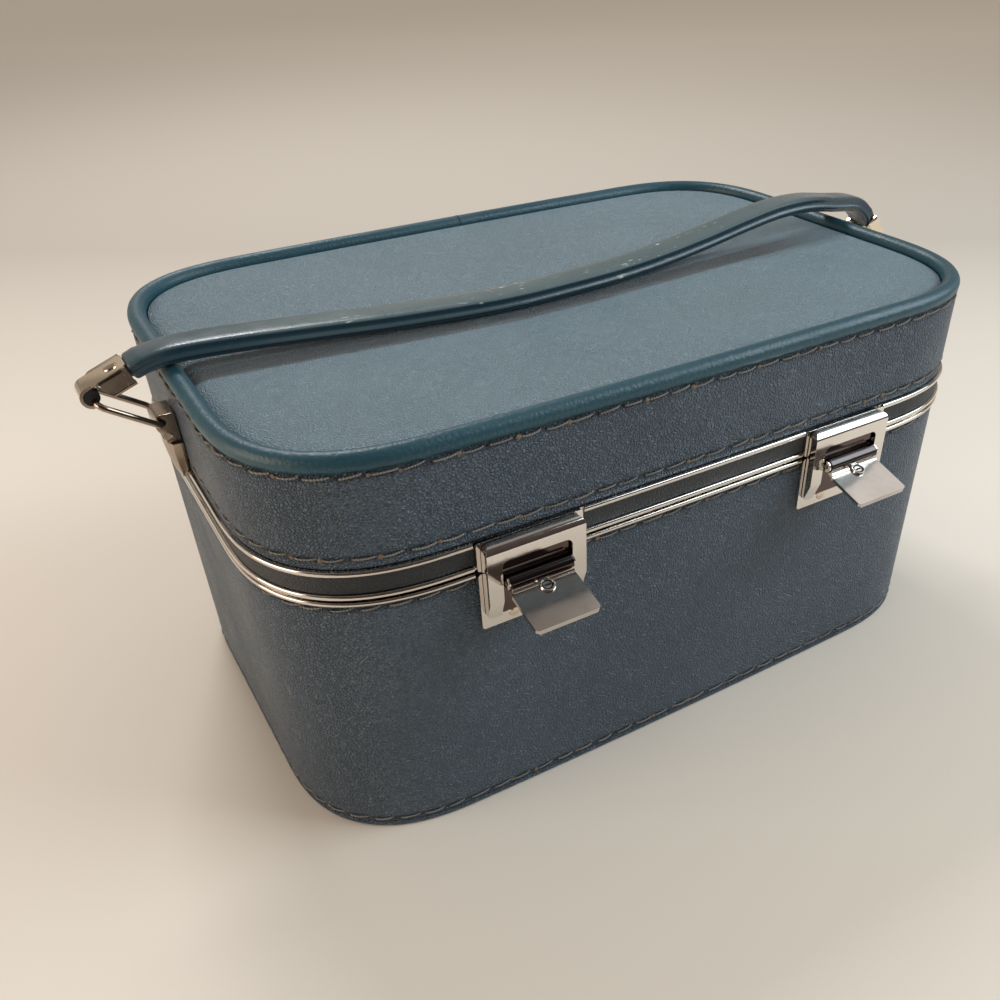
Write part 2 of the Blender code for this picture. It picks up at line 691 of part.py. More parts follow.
def latch_hasp(name, x):
    """The lid's tongue: a bar across the window, then a thin strip with a slot for the flap's tooth."""
    back = PLATE_FRONT + FIT
    bar_top = PARTING_HEIGHT + BEZEL_RISE - BEZEL_BAR - FIT
    bar_low = bar_top - HASP_BAR_HEIGHT
    thin = back + HASP_TONGUE_THICKNESS
    full = back + HASP_BAR_PROUD
    tip = PARTING_HEIGHT - HASP_TONGUE_DROP
    curve = [
        (full - (full - thin) * math.sin(a), bar_low - HASP_CURVE_DROP * (1 - math.cos(a)))
        for a in [HALF_TURN / 2 * step / ROUND_STEPS for step in range(ROUND_STEPS + 1)]
    ]
    side = [(back, tip), (thin, tip)] + curve[::-1] + [(full, bar_top)]
    side.append((back, bar_top))
    tongue = as_mesh(flat_shape(name, [side], HASP_BAR_WIDTH, latch_side(x)))
    for sign in (LEFT, RIGHT):
        middle = x + sign * (HASP_TONGUE_WIDTH / 2 + OVERRUN)
        low, high = tip - OVERRUN, bar_low
        cutter = latch_box(f"{name}_side_{sign}", x, 2 * OVERRUN, (0.0, full + OVERRUN), (low, high))
        cutter.location.x = middle
        combine(tongue, as_tool(cutter), "DIFFERENCE")
    middle = PARTING_HEIGHT - SLOT_DROP
    height = (middle - SLOT_HEIGHT / 2, middle + SLOT_HEIGHT / 2)
    slot = latch_box(name + "_slot", x, SLOT_WIDTH, (0.0, full), height)
    combine(tongue, as_tool(slot), "DIFFERENCE")
    return as_part(tongue, "chrome")


def pivot_point(x):
    seat = wall_face(abs(x) - PLATE_WIDTH / 2)
    return Vector((x, -seat - PIVOT_OUT, PARTING_HEIGHT - PIVOT_DROP))


def flap_place(x):
    """A place on the flap's pivot where local X runs out along the flap and local Y up from it."""
    slope = math.radians(FLAP_SLOPE_DEG)
    along = (0, -math.cos(slope), -math.sin(slope))
    up = (0, -math.sin(slope), math.cos(slope))
    return axes_matrix(pivot_point(x), along, up)


def latch_flap(name, x):
    """The thumb flap: a knuckle round the pin, a plate, and a tooth for the hasp's slot."""
    place = flap_place(x)
    knuckle = circle((0, 0), KNUCKLE_RADIUS, KNUCKLE_STEPS, turn_share=0.5)
    flap = as_mesh(flat_shape(name, [knuckle], KNUCKLE_WIDTH, place))
    end = math.sqrt(KNUCKLE_RADIUS**2 - (KNUCKLE_RADIUS - FLAP_THICKNESS) ** 2) + FLAP_LENGTH
    top = -KNUCKLE_RADIUS + FLAP_THICKNESS
    past_ears = EAR_RADIUS + FIT
    pieces = [("root", 0.0, 2 * past_ears, KNUCKLE_WIDTH), ("plate", past_ears, end, FLAP_WIDTH)]
    for piece, start, stop, width in pieces:
        middle = ((start + stop) / 2, (top - KNUCKLE_RADIUS) / 2, 0)
        plate = box(f"{name}_{piece}", (0, 0, 0), (stop - start, FLAP_THICKNESS, width))
        plate.matrix_world = place @ Matrix.Translation(middle)
        soften(plate, FLAP_EDGE)
        combine(flap, as_tool(plate), "UNION")
    closed_face = PIVOT_OUT - KNUCKLE_RADIUS
    middle = PARTING_HEIGHT - SLOT_DROP
    height = (middle - TOOTH_HEIGHT / 2, middle + TOOTH_HEIGHT / 2)
    reach = (PLATE_FRONT + TOOTH_TIP_GAP, closed_face + FLAP_THICKNESS / 2)
    tooth = latch_box(name + "_tooth", x, TOOTH_WIDTH, reach, height)
    about = Matrix.Translation(pivot_point(x))
    opening = Matrix.Rotation(-math.radians(FLAP_TRAVEL_DEG), 4, "X")
    tooth.matrix_world = about @ opening @ about.inverted() @ Matrix.Translation(tooth.location)
    combine(flap, as_tool(tooth), "UNION")
    depth = 2 * KNUCKLE_RADIUS + OVERRUN
    hole = rod(name + "_plug_hole", PLUG_RADIUS + FIT, depth, (0, 0, 0), (0, 0, 1), PLUG_SIDES)
    hole.matrix_world = plug_place(x)
    combine(flap, as_tool(hole), "DIFFERENCE")
    bore_length = KNUCKLE_WIDTH + 2 * OVERRUN
    bore = rod(name + "_bore", KNUCKLE_BORE, bore_length, pivot_point(x), (1, 0, 0), PIN_SIDES)
    combine(flap, as_tool(bore), "DIFFERENCE")
    return as_part(flap, "chrome")


def plug_place(x):
    """A place in the middle of the lock plug, with local Z up out of the flap."""
    turn = Matrix.Rotation(-HALF_TURN / 2, 4, "X")
    return flap_place(x) @ Matrix.Translation((PLUG_OFFSET, 0, 0)) @ turn


def latch_plug(name, x):
    """The round lock plug in the flap, with its keyway."""
    low = -KNUCKLE_RADIUS + FIT
    high = -KNUCKLE_RADIUS + FLAP_THICKNESS + PLUG_PROUD
    plug = rod(name, PLUG_RADIUS, high - low, (0, 0, 0), (0, 0, 1), PLUG_SIDES)
    plug.matrix_world = plug_place(x) @ Matrix.Translation((0, 0, (low + high) / 2))
    keyway = box(name + "_keyway", (0, 0, 0), (KEYWAY_WIDTH, KEYWAY_LENGTH, 2 * KEYWAY_DEPTH))
    keyway.matrix_world = plug_place(x) @ Matrix.Translation((0, 0, high))
    combine(plug, as_tool(keyway), "DIFFERENCE")
    return as_part(plug, "chrome")


def latch_spring(name, x):
    """The sleeve that stands for the coil round the pin."""
    loops = [
        circle((0, 0), SPRING_OUTER_RADIUS, PIN_SIDES),
        circle((0, 0), SPRING_INNER_RADIUS, PIN_SIDES),
    ]
    return as_part(flat_shape(name, loops, KNUCKLE_WIDTH, flap_place(x)), "dark_steel")


def latch(side_name, x):
    """One latch, and the two pivots that its flap and lock plug turn on."""
    lid_parts = [
        latch_lid_plate(f"latch_{side_name}_lid_plate", x),
        latch_bezel(f"latch_{side_name}_bezel", x),
        latch_hasp(f"latch_{side_name}_hasp", x),
    ]
    latch_base_plate(f"latch_{side_name}_base_plate", x)
    length = KNUCKLE_WIDTH + 2 * (2 * FIT + EAR_THICKNESS)
    as_part(rod(f"latch_{side_name}_pin", PIN_RADIUS, length, pivot_point(x), (1, 0, 0)), "dark_steel")
    latch_spring(f"latch_{side_name}_spring", x)
    flap = latch_flap(f"latch_{side_name}_flap", x)
    plug = latch_plug(f"latch_{side_name}_lock_plug", x)
    flap_axis = pivot_empty(f"latch_{side_name}_flap_axis", pivot_point(x), [flap])
    plug_axis = pivot_empty(f"latch_{side_name}_plug_axis", plug_place(x).translation, [plug])
    carry(flap_axis, [plug_axis])
    return lid_parts


def hinge_side(x):
    """A place at a rear hinge's pin where local X runs out from the wall and local Y up."""
    seat = wall_face(abs(x) - HINGE_WIDTH / 2)
    return axes_matrix((x, seat + HINGE_AXIS_OUT, PARTING_HEIGHT), (0, 1, 0), (0, 0, 1))


def hinge_leaf(name, x, upwards):
    """A leaf with its share of the knuckles: the lid has the middle one and the base the outer two."""
    place = hinge_side(x)
    inner = PLATE_BACK - HINGE_AXIS_OUT
    outer = inner + HINGE_LEAF_THICKNESS
    near = upwards * (HINGE_KNUCKLE_RADIUS - HINGE_LEAF_THICKNESS)
    rim = upwards * PARTING_GAP / 2
    far = near + upwards * HINGE_LEAF_HEIGHT
    ring = [
        circle((0, 0), HINGE_KNUCKLE_RADIUS, HINGE_STEPS),
        circle((0, 0), HINGE_BORE, HINGE_STEPS),
    ]
    leaf = as_mesh(flat_shape(name, ring, HINGE_WIDTH, place))
    reach = -HINGE_BORE
    arm = [(inner, rim), (reach, rim), (reach, near), (outer, near), (outer, far), (inner, far)]
    strap = as_mesh(flat_shape(name + "_arm", [arm], HINGE_WIDTH, place))
    combine(leaf, as_tool(strap), "UNION")
    middle = HINGE_WIDTH * HINGE_MIDDLE_SHARE / 2
    if upwards > 0:
        spans = [(-HINGE_WIDTH / 2 - OVERRUN, -middle), (middle, HINGE_WIDTH / 2 + OVERRUN)]
    else:
        spans = [(-middle - FIT, middle + FIT)]
    half = HINGE_KNUCKLE_RADIUS + OVERRUN
    for number, (start, end) in enumerate(spans):
        span = box(f"{name}_gap_{number}", (0, 0, 0), (half + abs(outer) - FIT, 2 * half, end - start))
        centre = (half + outer + FIT) / 2, 0, (start + end) / 2
        span.matrix_world = place @ Matrix.Translation(centre)
        combine(leaf, as_tool(span), "DIFFERENCE")
    return as_part(leaf, "chrome")


def hinge(side_name, x):
    lid_leaf = hinge_leaf(f"hinge_{side_name}_lid_leaf", x, 1)
    hinge_leaf(f"hinge_{side_name}_base_leaf", x, -1)
    centre = hinge_side(x).translation
    pin = rod(f"hinge_{side_name}_pin", HINGE_PIN_RADIUS, HINGE_WIDTH, centre, (1, 0, 0))
    as_part(pin, "dark_steel")
    return [lid_leaf]


def link_axis(side):
    """Where a link turns in its bracket."""
    height = bracket_foot() + BRACKET_HEIGHT * LINK_AXIS_RISE_SHARE
    return Vector((side * (CASE_WIDTH / 2 + LINK_AXIS_OUT), 0, height))


def link_direction(side):
    slope = math.radians(LINK_LEFT_SLOPE_DEG if side == LEFT else LINK_RIGHT_SLOPE_DEG)
    return Vector((side * math.cos(slope), 0, math.sin(slope)))


def link_bar(side):
    """Where the strap's clip turns on the link's outer bar."""
    return link_axis(side) + link_direction(side) * LINK_LENGTH


def bracket_foot():
    return LID_BAND_TOP + FIT


def bracket(name, side):
    """The pointed bracket on the lid's end, with a bore for the link."""
    wall = side * (CASE_WIDTH / 2 + FIT)
    foot = bracket_foot()
    profile = [(out * BRACKET_PROUD, foot + up * BRACKET_HEIGHT) for out, up in BRACKET_SIDE_SHARES]
    place = axes_matrix((wall, 0, 0), (side, 0, 0), (0, 0, 1))
    body = as_mesh(flat_shape(name, [profile], 2 * BRACKET_HALF_WIDTH, place))
    half = [(across * BRACKET_HALF_WIDTH, foot + up * BRACKET_HEIGHT) for across, up in BRACKET_FRONT_SHARES]
    outline = half + [(-across, up) for across, up in reversed(half)]
    front = axes_matrix((wall, 0, 0), (0, side, 0), (0, 0, 1))
    face = as_mesh(flat_shape(name + "_outline", [outline], 2 * (BRACKET_PROUD + OVERRUN), front))
    combine(body, as_tool(face), "INTERSECT")
    bore_length = 2 * (BRACKET_HALF_WIDTH + OVERRUN)
    bore = rod(name + "_bore", LINK_WIRE_RADIUS + FIT, bore_length, link_axis(side), (0, 1, 0))
    soften(body, BRACKET_EDGE)
    combine(body, as_tool(bore), "DIFFERENCE")
    return as_part(body, "chrome")


def link(name, side):
    """The closed wire loop between bracket and clip."""
    middle = link_axis(side) + link_direction(side) * (LINK_LENGTH / 2)
    outline = rounded_rectangle(2 * LINK_HALF_WIDTH, LINK_LENGTH, LINK_CORNER, steps=3)
    wire = bpy.data.curves.new(name, "CURVE")
    wire.dimensions = "3D"
    wire.bevel_depth = LINK_WIRE_RADIUS
    wire.bevel_resolution = LINK_SIDES_RESOLUTION
    add_loop(wire, [(x, y, 0.0) for x, y in outline])
    obj = bpy.data.objects.new(name, wire)
    obj.matrix_world = axes_matrix(middle, (0, 1, 0), link_direction(side))
    return as_part(obj, "chrome")


def clip_place(side):
    """A place on the link's outer bar where local X runs along the strap and local Y up from it."""
    slope = math.radians(CLIP_LEFT_SLOPE_DEG if side == LEFT else CLIP_RIGHT_SLOPE_DEG)
    along = (-side * math.cos(slope), 0, math.sin(slope))
    up = (side * math.sin(slope), 0, math.cos(slope))
    return axes_matrix(link_bar(side), along, up)


def clip(name, side):
    """The folded channel on the strap's end, with slots that the link's bar can travel in."""
    place = clip_place(side)
    length = CLIP_TAIL + CLIP_LENGTH
    height = CLIP_BELOW + CLIP_TOP
    outline = [(along * length - CLIP_TAIL, up * height - CLIP_BELOW) for along, up in CLIP_SIDE_SHARES]
    channel = as_mesh(flat_shape(name, [outline], CLIP_WIDTH, place))
    soften(channel, CLIP_EDGE)
    hollow_top = CLIP_TOP - CLIP_SHEET
    hollow_low = -CLIP_BELOW - OVERRUN
    size = (length + 2 * OVERRUN, hollow_top - hollow_low, CLIP_WIDTH - 2 * CLIP_SHEET)
    hollow = box(name + "_hollow", (0, 0, 0), size)
    centre = ((CLIP_LENGTH - CLIP_TAIL) / 2, (hollow_top + hollow_low) / 2, 0)
    hollow.matrix_world = place @ Matrix.Translation(centre)
    combine(channel, as_tool(hollow), "DIFFERENCE")
    radius = LINK_WIRE_RADIUS + 2 * FIT
    slope = -math.radians(CLIP_PLAY_SLOPE_DEG)
    inner = (CLIP_PLAY * math.cos(slope), CLIP_PLAY * math.sin(slope))
    quarter = HALF_TURN / 2
    slot_loop = arc(inner, radius, slope - quarter, slope + quarter, ROUND_STEPS)
    slot_loop += arc((0, 0), radius, slope + quarter, slope + 3 * quarter, ROUND_STEPS)
    slot = as_mesh(flat_shape(name + "_slot", [slot_loop], CLIP_WIDTH + 2 * OVERRUN, place))
    combine(channel, as_tool(slot), "DIFFERENCE")
    combine(channel, rivet_hole(name + "_rivet_hole", side), "DIFFERENCE")
    return as_part(channel, "chrome")


def rivet_hole(name, side):
    hole = rod(name, RIVET_SHANK_RADIUS + FIT, 2 * (CLIP_TOP + OVERRUN), (0, 0, 0), (0, 0, 1))
    turn = Matrix.Rotation(-HALF_TURN / 2, 4, "X")
    hole.matrix_world = clip_place(side) @ Matrix.Translation((RIVET_ALONG, 0, 0)) @ turn
    return as_tool(hole)


def rivet(name, side):
    """A domed rivet through the clip and the strap's tongue, turned about its own axis."""
    mesh = bpy.data.meshes.new(name)
    seat = CLIP_TOP + FIT
    foot = tongue_middle() - STRAP_TONGUE_THICKNESS / 2
    dome = [
        (RIVET_HEAD_RADIUS * math.sin(a), seat + RIVET_HEAD_HEIGHT * math.cos(a))
        for a in [HALF_TURN / 2 * step / ROUND_STEPS for step in range(ROUND_STEPS + 1)]
    ]
    profile = dome + [(RIVET_SHANK_RADIUS, seat), (RIVET_SHANK_RADIUS, foot), (0.0, foot)]
    shape = bmesh.new()
    corners = [shape.verts.new((radius, 0.0, up)) for radius, up in profile]
    for first, second in zip(corners, corners[1:]):
        shape.edges.new((first, second))
    shape.to_mesh(mesh)
    shape.free()
    obj = bpy.data.objects.new(name, mesh)
    turn = Matrix.Rotation(-HALF_TURN / 2, 4, "X")
    obj.matrix_world = clip_place(side) @ Matrix.Translation((RIVET_ALONG, 0, 0)) @ turn
    screw = obj.modifiers.new("Screw", "SCREW")
    screw.steps = RIVET_STEPS
    screw.render_steps = RIVET_STEPS
    screw.use_merge_vertices = True
    screw.merge_threshold = WELD_DISTANCE
    return as_part(obj, "chrome")


def tongue_middle():
    """Height of the strap's middle above the link's bar, inside the clip."""
    return CLIP_TOP - CLIP_SHEET - FIT - STRAP_TONGUE_THICKNESS / 2


def route_point(shares):
    along, lean, lift = shares
    height = PANEL_HEIGHT + STRAP_LIFT * lift + STRAP_THICKNESS / 2
    return Vector((along * STRAP_HALF_SPAN, lean * STRAP_LEAN, height))


def smooth_route(points, steps):
    """Points on one smooth curve through the given ones."""
    route = []
    last = len(points) - 1
    for here in range(last):
        before, start = points[max(here - 1, 0)], points[here]
        end, after = points[here + 1], points[min(here + 2, last)]
        for step in range(steps):
            t = step / steps
            leave = (end - before) / 2
            arrive = (after - start) / 2
            route.append(
                start * (2 * t**3 - 3 * t**2 + 1)
                + leave * (t**3 - 2 * t**2 + t)
                + end * (3 * t**2 - 2 * t**3)
                + arrive * (t**3 - t**2)
            )
    return route + [points[last]]


def strap_half(name, side):
    """One half of the carrying strap, with a thin tongue in its clip."""
    place = clip_place(side)
    middle = tongue_middle()
    lead = place @ Vector((CLIP_LENGTH + STRAP_CLIP_GAP, middle, 0))
    onward = place @ Vector((CLIP_LENGTH + STRAP_THICKNESS / 2, middle, 0))
    shares_route = STRAP_LEFT_ROUTE_SHARES if side == LEFT else reversed(STRAP_RIGHT_ROUTE_SHARES)
    points = [onward] + [route_point(shares) for shares in shares_route]
    points[-1].x = side * FIT / 2
    points = [lead] + smooth_route(points, STRAP_STEPS)
    half = [(w * STRAP_WIDTH, t * STRAP_THICKNESS) for w, t in STRAP_SECTION_SHARES]
    section = bpy.data.curves.new(name + "_section", "CURVE")
    section.dimensions = "2D"
    add_loop(section, half + [(-w, t) for w, t in reversed(half)])
    guide = as_tool(bpy.data.objects.new(name + "_section", section))
    path = bpy.data.curves.new(name, "CURVE")
    path.dimensions = "3D"
    path.twist_mode = "Z_UP"
    path.bevel_mode = "OBJECT"
    path.bevel_object = guide
    path.use_fill_caps = True
    add_loop(path, [tuple(point) for point in points]).use_cyclic_u = False
    strap = as_mesh(bpy.data.objects.new(name, path))
    reach = CLIP_LENGTH + STRAP_TONGUE_REACH
    width = CLIP_WIDTH - 2 * (CLIP_SHEET + FIT)
    tongue = box(name + "_tongue", (0, 0, 0), (reach - STRAP_TONGUE_START, STRAP_TONGUE_THICKNESS, width))
    tongue.matrix_world = place @ Matrix.Translation(((reach + STRAP_TONGUE_START) / 2, middle, 0))
    combine(strap, as_tool(tongue), "UNION")
    combine(strap, rivet_hole(name + "_rivet_hole", side), "DIFFERENCE")
    return as_part(strap, "strap_vinyl")


def pivot_empty(name, place, parts):
    """An empty on a joint's axis that carries the pieces turning about it."""
    empty = bpy.data.objects.new(name, None)
    empty.location = place
    PARTS.objects.link(empty)
    bpy.context.view_layer.update()
    carry(empty, parts)
    return empty


def carry(empty, parts):
    for part in parts:
        part.parent = empty
        part.matrix_parent_inverse = empty.matrix_world.inverted()


def handle(side_name, side):
    """Bracket, link, clip, rivet and half of the strap at one end of the lid."""
    held = bracket(f"handle_{side_name}_bracket", side)
    wire = link(f"handle_{side_name}_link", side)
    moving = [
        clip(f"handle_{side_name}_clip", side),
        rivet(f"handle_{side_name}_rivet", side),
        strap_half(f"handle_{side_name}_strap", side),
    ]
    link_empty = pivot_empty(f"handle_{side_name}_link_axis", link_axis(side), [wire])
    strap_empty = pivot_empty(f"handle_{side_name}_strap_axis", link_bar(side), moving)
    return [held, link_empty, strap_empty]


def build_case():
    base_shell()
    base_rim = base_edging()
    lid_shell()
    lid_rim = lid_edging()
    for cutter in bead_cutters():
        combine(base_rim, cutter, "DIFFERENCE")
        combine(lid_rim, cutter, "DIFFERENCE")
    on_lid = [obj for obj in PARTS.objects if obj.name.startswith("lid_")]
    for side_name, side in (("left", LEFT), ("right", RIGHT)):
        on_lid += latch(side_name, side * LATCH_SPACING / 2)
        on_lid += hinge(side_name, side * HINGE_SPACING / 2)
        on_lid += handle(side_name, side)
    axis = hinge_side(HINGE_SPACING / 2).translation.copy()
    axis.x = 0.0
    pivot_empty("lid_axis", axis, on_lid)


clear_scene()
PARTS = new_collection("cosmetic_train_case")
TOOLS = new_collection("cutters_and_guides")
build_case()
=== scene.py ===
"""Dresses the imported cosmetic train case: grained vinyl, stitching, plated edging, latches and strap.

Metres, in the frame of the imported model: X to the right along the front, Y to the back, Z up.
"""

import math
import random

import bmesh
import bpy
import numpy as np
from mathutils import Matrix, Vector


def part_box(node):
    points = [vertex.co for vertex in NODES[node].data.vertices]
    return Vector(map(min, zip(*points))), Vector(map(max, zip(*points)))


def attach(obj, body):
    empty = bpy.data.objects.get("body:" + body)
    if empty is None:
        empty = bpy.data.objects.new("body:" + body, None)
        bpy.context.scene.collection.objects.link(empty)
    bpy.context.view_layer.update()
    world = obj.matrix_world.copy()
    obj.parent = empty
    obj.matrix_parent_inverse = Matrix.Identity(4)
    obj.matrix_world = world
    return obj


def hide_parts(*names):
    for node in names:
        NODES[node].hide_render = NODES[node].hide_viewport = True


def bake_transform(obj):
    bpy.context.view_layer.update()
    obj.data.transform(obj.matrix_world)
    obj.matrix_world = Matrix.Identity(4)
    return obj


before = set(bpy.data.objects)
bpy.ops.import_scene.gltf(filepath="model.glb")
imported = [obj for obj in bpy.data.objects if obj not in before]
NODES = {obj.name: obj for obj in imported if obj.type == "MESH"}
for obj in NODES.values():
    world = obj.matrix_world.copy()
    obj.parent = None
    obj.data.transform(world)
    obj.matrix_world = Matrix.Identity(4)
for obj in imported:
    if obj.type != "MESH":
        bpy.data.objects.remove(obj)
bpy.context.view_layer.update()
LEFT, RIGHT = -1, 1
SIDES = (("left", LEFT), ("right", RIGHT))
TURN = 2 * math.pi

# Outline of the case seen from above
SIDE_BOW = 0.0027
CORNER_REACH = 0.0649
CORNER_POWER = 2.75
RING_STEPS = 300
SAME_POINT = 1e-7
WELD_REACH = 1e-6
SKIN_CREASE = math.radians(40)
PART_CREASE = math.radians(35)

# The camera, solved from the outline of the case in the photograph
CAMERA_PLACE = (-0.20753, -0.35726, 0.30971)
CAMERA_RIGHT = (0.8508, -0.5254, -0.0128)
CAMERA_UP = (0.3254, 0.5076, 0.7979)
CAMERA_LENS_MM = 34.485
CAMERA_SENSOR_MM = 36.0
CAMERA_SHIFT = (-0.0731, 0.0941)


def box_of(node):
    low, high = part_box(node)
    return Vector(low), Vector(high)


WALL_LOW, WALL_HIGH = box_of("base_wall_cover")
CASE_WIDTH = WALL_HIGH.x - WALL_LOW.x
CASE_DEPTH = WALL_HIGH.y - WALL_LOW.y - 2 * SIDE_BOW


# The outline as a fine line

def bow(x, y):
    """Moves a point of the front or back out by the wall's slight bow."""
    hub = CASE_DEPTH / 2 - CORNER_REACH
    fade = np.clip((np.abs(y) - hub) / CORNER_REACH, 0, 1)
    return y + np.sign(y) * SIDE_BOW * (1 - (2 * x / CASE_WIDTH) ** 2) * fade


def dense_outline():
    """The wall's face as a fine closed line, counter-clockwise from the middle of the right end."""
    hub_x = CASE_WIDTH / 2 - CORNER_REACH
    hub_y = CASE_DEPTH / 2 - CORNER_REACH
    angle = np.linspace(0, math.pi / 2, 400)
    corner_x = hub_x + CORNER_REACH * np.cos(angle).clip(0) ** (2 / CORNER_POWER)
    corner_y = hub_y + CORNER_REACH * np.sin(angle) ** (2 / CORNER_POWER)
    end_y = np.linspace(0, hub_y, 40)[:-1]
    front_x = np.linspace(hub_x, 0, 200)[1:]
    x = np.concatenate([np.full(len(end_y), CASE_WIDTH / 2), corner_x, front_x])
    y = np.concatenate([end_y, corner_y, np.full(len(front_x), CASE_DEPTH / 2)])
    y = bow(x, y)
    x = np.concatenate([x, -x[-2::-1], -x[1:], x[-2:0:-1]])
    y = np.concatenate([y, y[-2::-1], -y[1:], -y[-2:0:-1]])
    keep = np.hypot(x - np.roll(x, 1), y - np.roll(y, 1)) > SAME_POINT
    return np.column_stack([x[keep], y[keep]])


LINE = dense_outline()
LINE_GAPS = np.hypot(*(np.roll(LINE, -1, axis=0) - LINE).T)
LINE_LENGTH = LINE_GAPS.sum()
LINE_AT = np.concatenate([[0.0], np.cumsum(LINE_GAPS)])
LINE_LOOP = np.vstack([LINE, LINE[:1]])


def on_outline(distance):
    """Points and outward normals at distances along the outline."""
    span = 0.0012

    def spot(d):
        d = np.mod(d, LINE_LENGTH)
        return np.column_stack([np.interp(d, LINE_AT, LINE_LOOP[:, axis]) for axis in (0, 1)])

    distance = np.atleast_1d(np.asarray(distance, float))
    along = spot(distance + span) - spot(distance - span)
    along /= np.hypot(*along.T)[:, None]
    return spot(distance), np.column_stack([along[:, 1], -along[:, 0]])


def distance_near(x, y):
    """How far along the outline the point nearest to a given one lies."""
    return float(LINE_AT[np.argmin(np.hypot(LINE[:, 0] - x, LINE[:, 1] - y))])


def wall_face(x):
    """How far the front or back stands from the middle plane at a place along it."""
    return float(bow(np.array(x), np.array(CASE_DEPTH / 2)))


# Meshes

def new_object(name, verts, faces, smooth=True):
    mesh = bpy.data.meshes.new(name)
    mesh.from_pydata([tuple(v) for v in verts], [], faces)
    mesh.validate()
    obj = bpy.data.objects.new(name, mesh)
    bpy.context.scene.collection.objects.link(obj)
    tidy_normals(mesh)
    if smooth:
        mesh.shade_smooth()
        mesh.set_sharp_from_angle(angle=SKIN_CREASE)
    return obj


def tidy_normals(mesh):
    solid = bmesh.new()
    solid.from_mesh(mesh)
    bmesh.ops.recalc_face_normals(solid, faces=solid.faces)
    solid.to_mesh(mesh)
    solid.free()


def grid_faces(rows, columns, wrap_rows=False, wrap_columns=False):
    faces = []
    for r in range(rows if wrap_rows else rows - 1):
        for c in range(columns if wrap_columns else columns - 1):
            r2, c2 = (r + 1) % rows, (c + 1) % columns
            faces.append((r * columns + c, r * columns + c2, r2 * columns + c2, r2 * columns + c))
    return faces


def ring(name, profile, stops=None, shape=None):
    """A closed section carried round the outline. shape may change the section from place to place."""
    stops = np.linspace(0, LINE_LENGTH, RING_STEPS, endpoint=False) if stops is None else stops
    points, normals = on_outline(stops)
    verts = []
    for stop, point, normal in zip(stops, points, normals):
        for out, height in (profile if shape is None else shape(profile, stop)):
            verts.append((point[0] + normal[0] * out, point[1] + normal[1] * out, height))
    return new_object(name, verts, grid_faces(len(points), len(profile), True, True))


def round_profile(out, height, radius, steps=20):
    angles = [TURN * step / steps for step in range(steps)]
    return [(out + radius * math.cos(a), height + radius * math.sin(a)) for a in angles]




def axes_matrix(origin, x_axis, y_axis):
    x_dir, y_dir = Vector(x_axis).normalized(), Vector(y_axis).normalized()
    turn = Matrix((x_dir, y_dir, x_dir.cross(y_dir))).transposed().to_4x4()
    return Matrix.Translation(Vector(origin)) @ turn


def arc(centre, radius, start, end, steps):
    angles = [start + (end - start) * step / steps for step in range(steps + 1)]
    return [(centre[0] + radius * math.cos(a), centre[1] + radius * math.sin(a)) for a in angles]


def circle(centre, radius, steps=32):
    return arc(centre, radius, 0, TURN, steps)[:-1]


def rounded(width, depth, corner, steps=5, centre=(0, 0)):
    points = []
    for quadrant, (sx, sy) in enumerate(((1, 1), (-1, 1), (-1, -1), (1, -1))):
        hub = (centre[0] + sx * (width / 2 - corner), centre[1] + sy * (depth / 2 - corner))
        points += arc(hub, corner, quadrant * TURN / 4, (quadrant + 1) * TURN / 4, steps)
    return points


def evaluated(obj):
    """Applies an object's modifiers and place to a plain mesh."""
    if obj.name not in bpy.context.scene.collection.objects:
        bpy.context.scene.collection.objects.link(obj)
    bpy.context.view_layer.update()
    mesh = bpy.data.meshes.new_from_object(obj.evaluated_get(bpy.context.evaluated_depsgraph_get()))
    mesh.transform(obj.matrix_world)
    name = obj.name
    bpy.data.objects.remove(obj)
    made = bpy.data.objects.new(name, mesh)
    bpy.context.scene.collection.objects.link(made)
    return made


def weld(obj):
    solid = bmesh.new()
    solid.from_mesh(obj.data)
    bmesh.ops.remove_doubles(solid, verts=solid.verts, dist=WELD_REACH)
    bmesh.ops.recalc_face_normals(solid, faces=solid.faces)
    solid.to_mesh(obj.data)
    solid.free()
    return obj


def sheet_cut(name, loops, thickness, place):
    """A plate cut to closed outlines in its own XY plane, centred on that plane."""
    curve = bpy.data.curves.new(name, "CURVE")
    curve.dimensions = "2D"
    curve.fill_mode = "BOTH"
    curve.extrude = thickness / 2
    for loop in loops:
        spline = curve.splines.new("POLY")
        spline.points.add(len(loop) - 1)
        for slot, point in zip(spline.points, loop):
            slot.co = (*point, 0.0, 1.0)
        spline.use_cyclic_u = True
    obj = bpy.data.objects.new(name, curve)
    obj.matrix_world = place
    return weld(evaluated(obj))


def smoothed(obj):
    obj.data.shade_smooth()
    obj.data.set_sharp_from_angle(angle=PART_CREASE)
    return obj


def block(name, size, place):
    mesh = bpy.data.meshes.new(name)
    solid = bmesh.new()
    bmesh.ops.create_cube(solid, size=1.0)
    bmesh.ops.scale(solid, vec=size, verts=solid.verts)
    solid.to_mesh(mesh)
    solid.free()
    obj = bpy.data.objects.new(name, mesh)
    obj.matrix_world = place
    return evaluated(obj)


def turned(name, profile, place, steps=32):
    """A solid of revolution about local Z from (radius, height) pairs; its ends lie on the axis."""
    angles = [TURN * step / steps for step in range(steps)]
    verts = [(r * math.cos(a), r * math.sin(a), z) for r, z in profile for a in angles]
    obj = new_object(name, verts, grid_faces(len(profile), steps, False, True))
    obj.data.transform(place)
    weld(obj)
    return smoothed(obj)


def combined(target, other, operation):
    step = target.modifiers.new("step", "BOOLEAN")
    step.operation = operation
    step.solver = "EXACT"
    step.object = other
    made = evaluated(target)
    bpy.data.objects.remove(other)
    return made


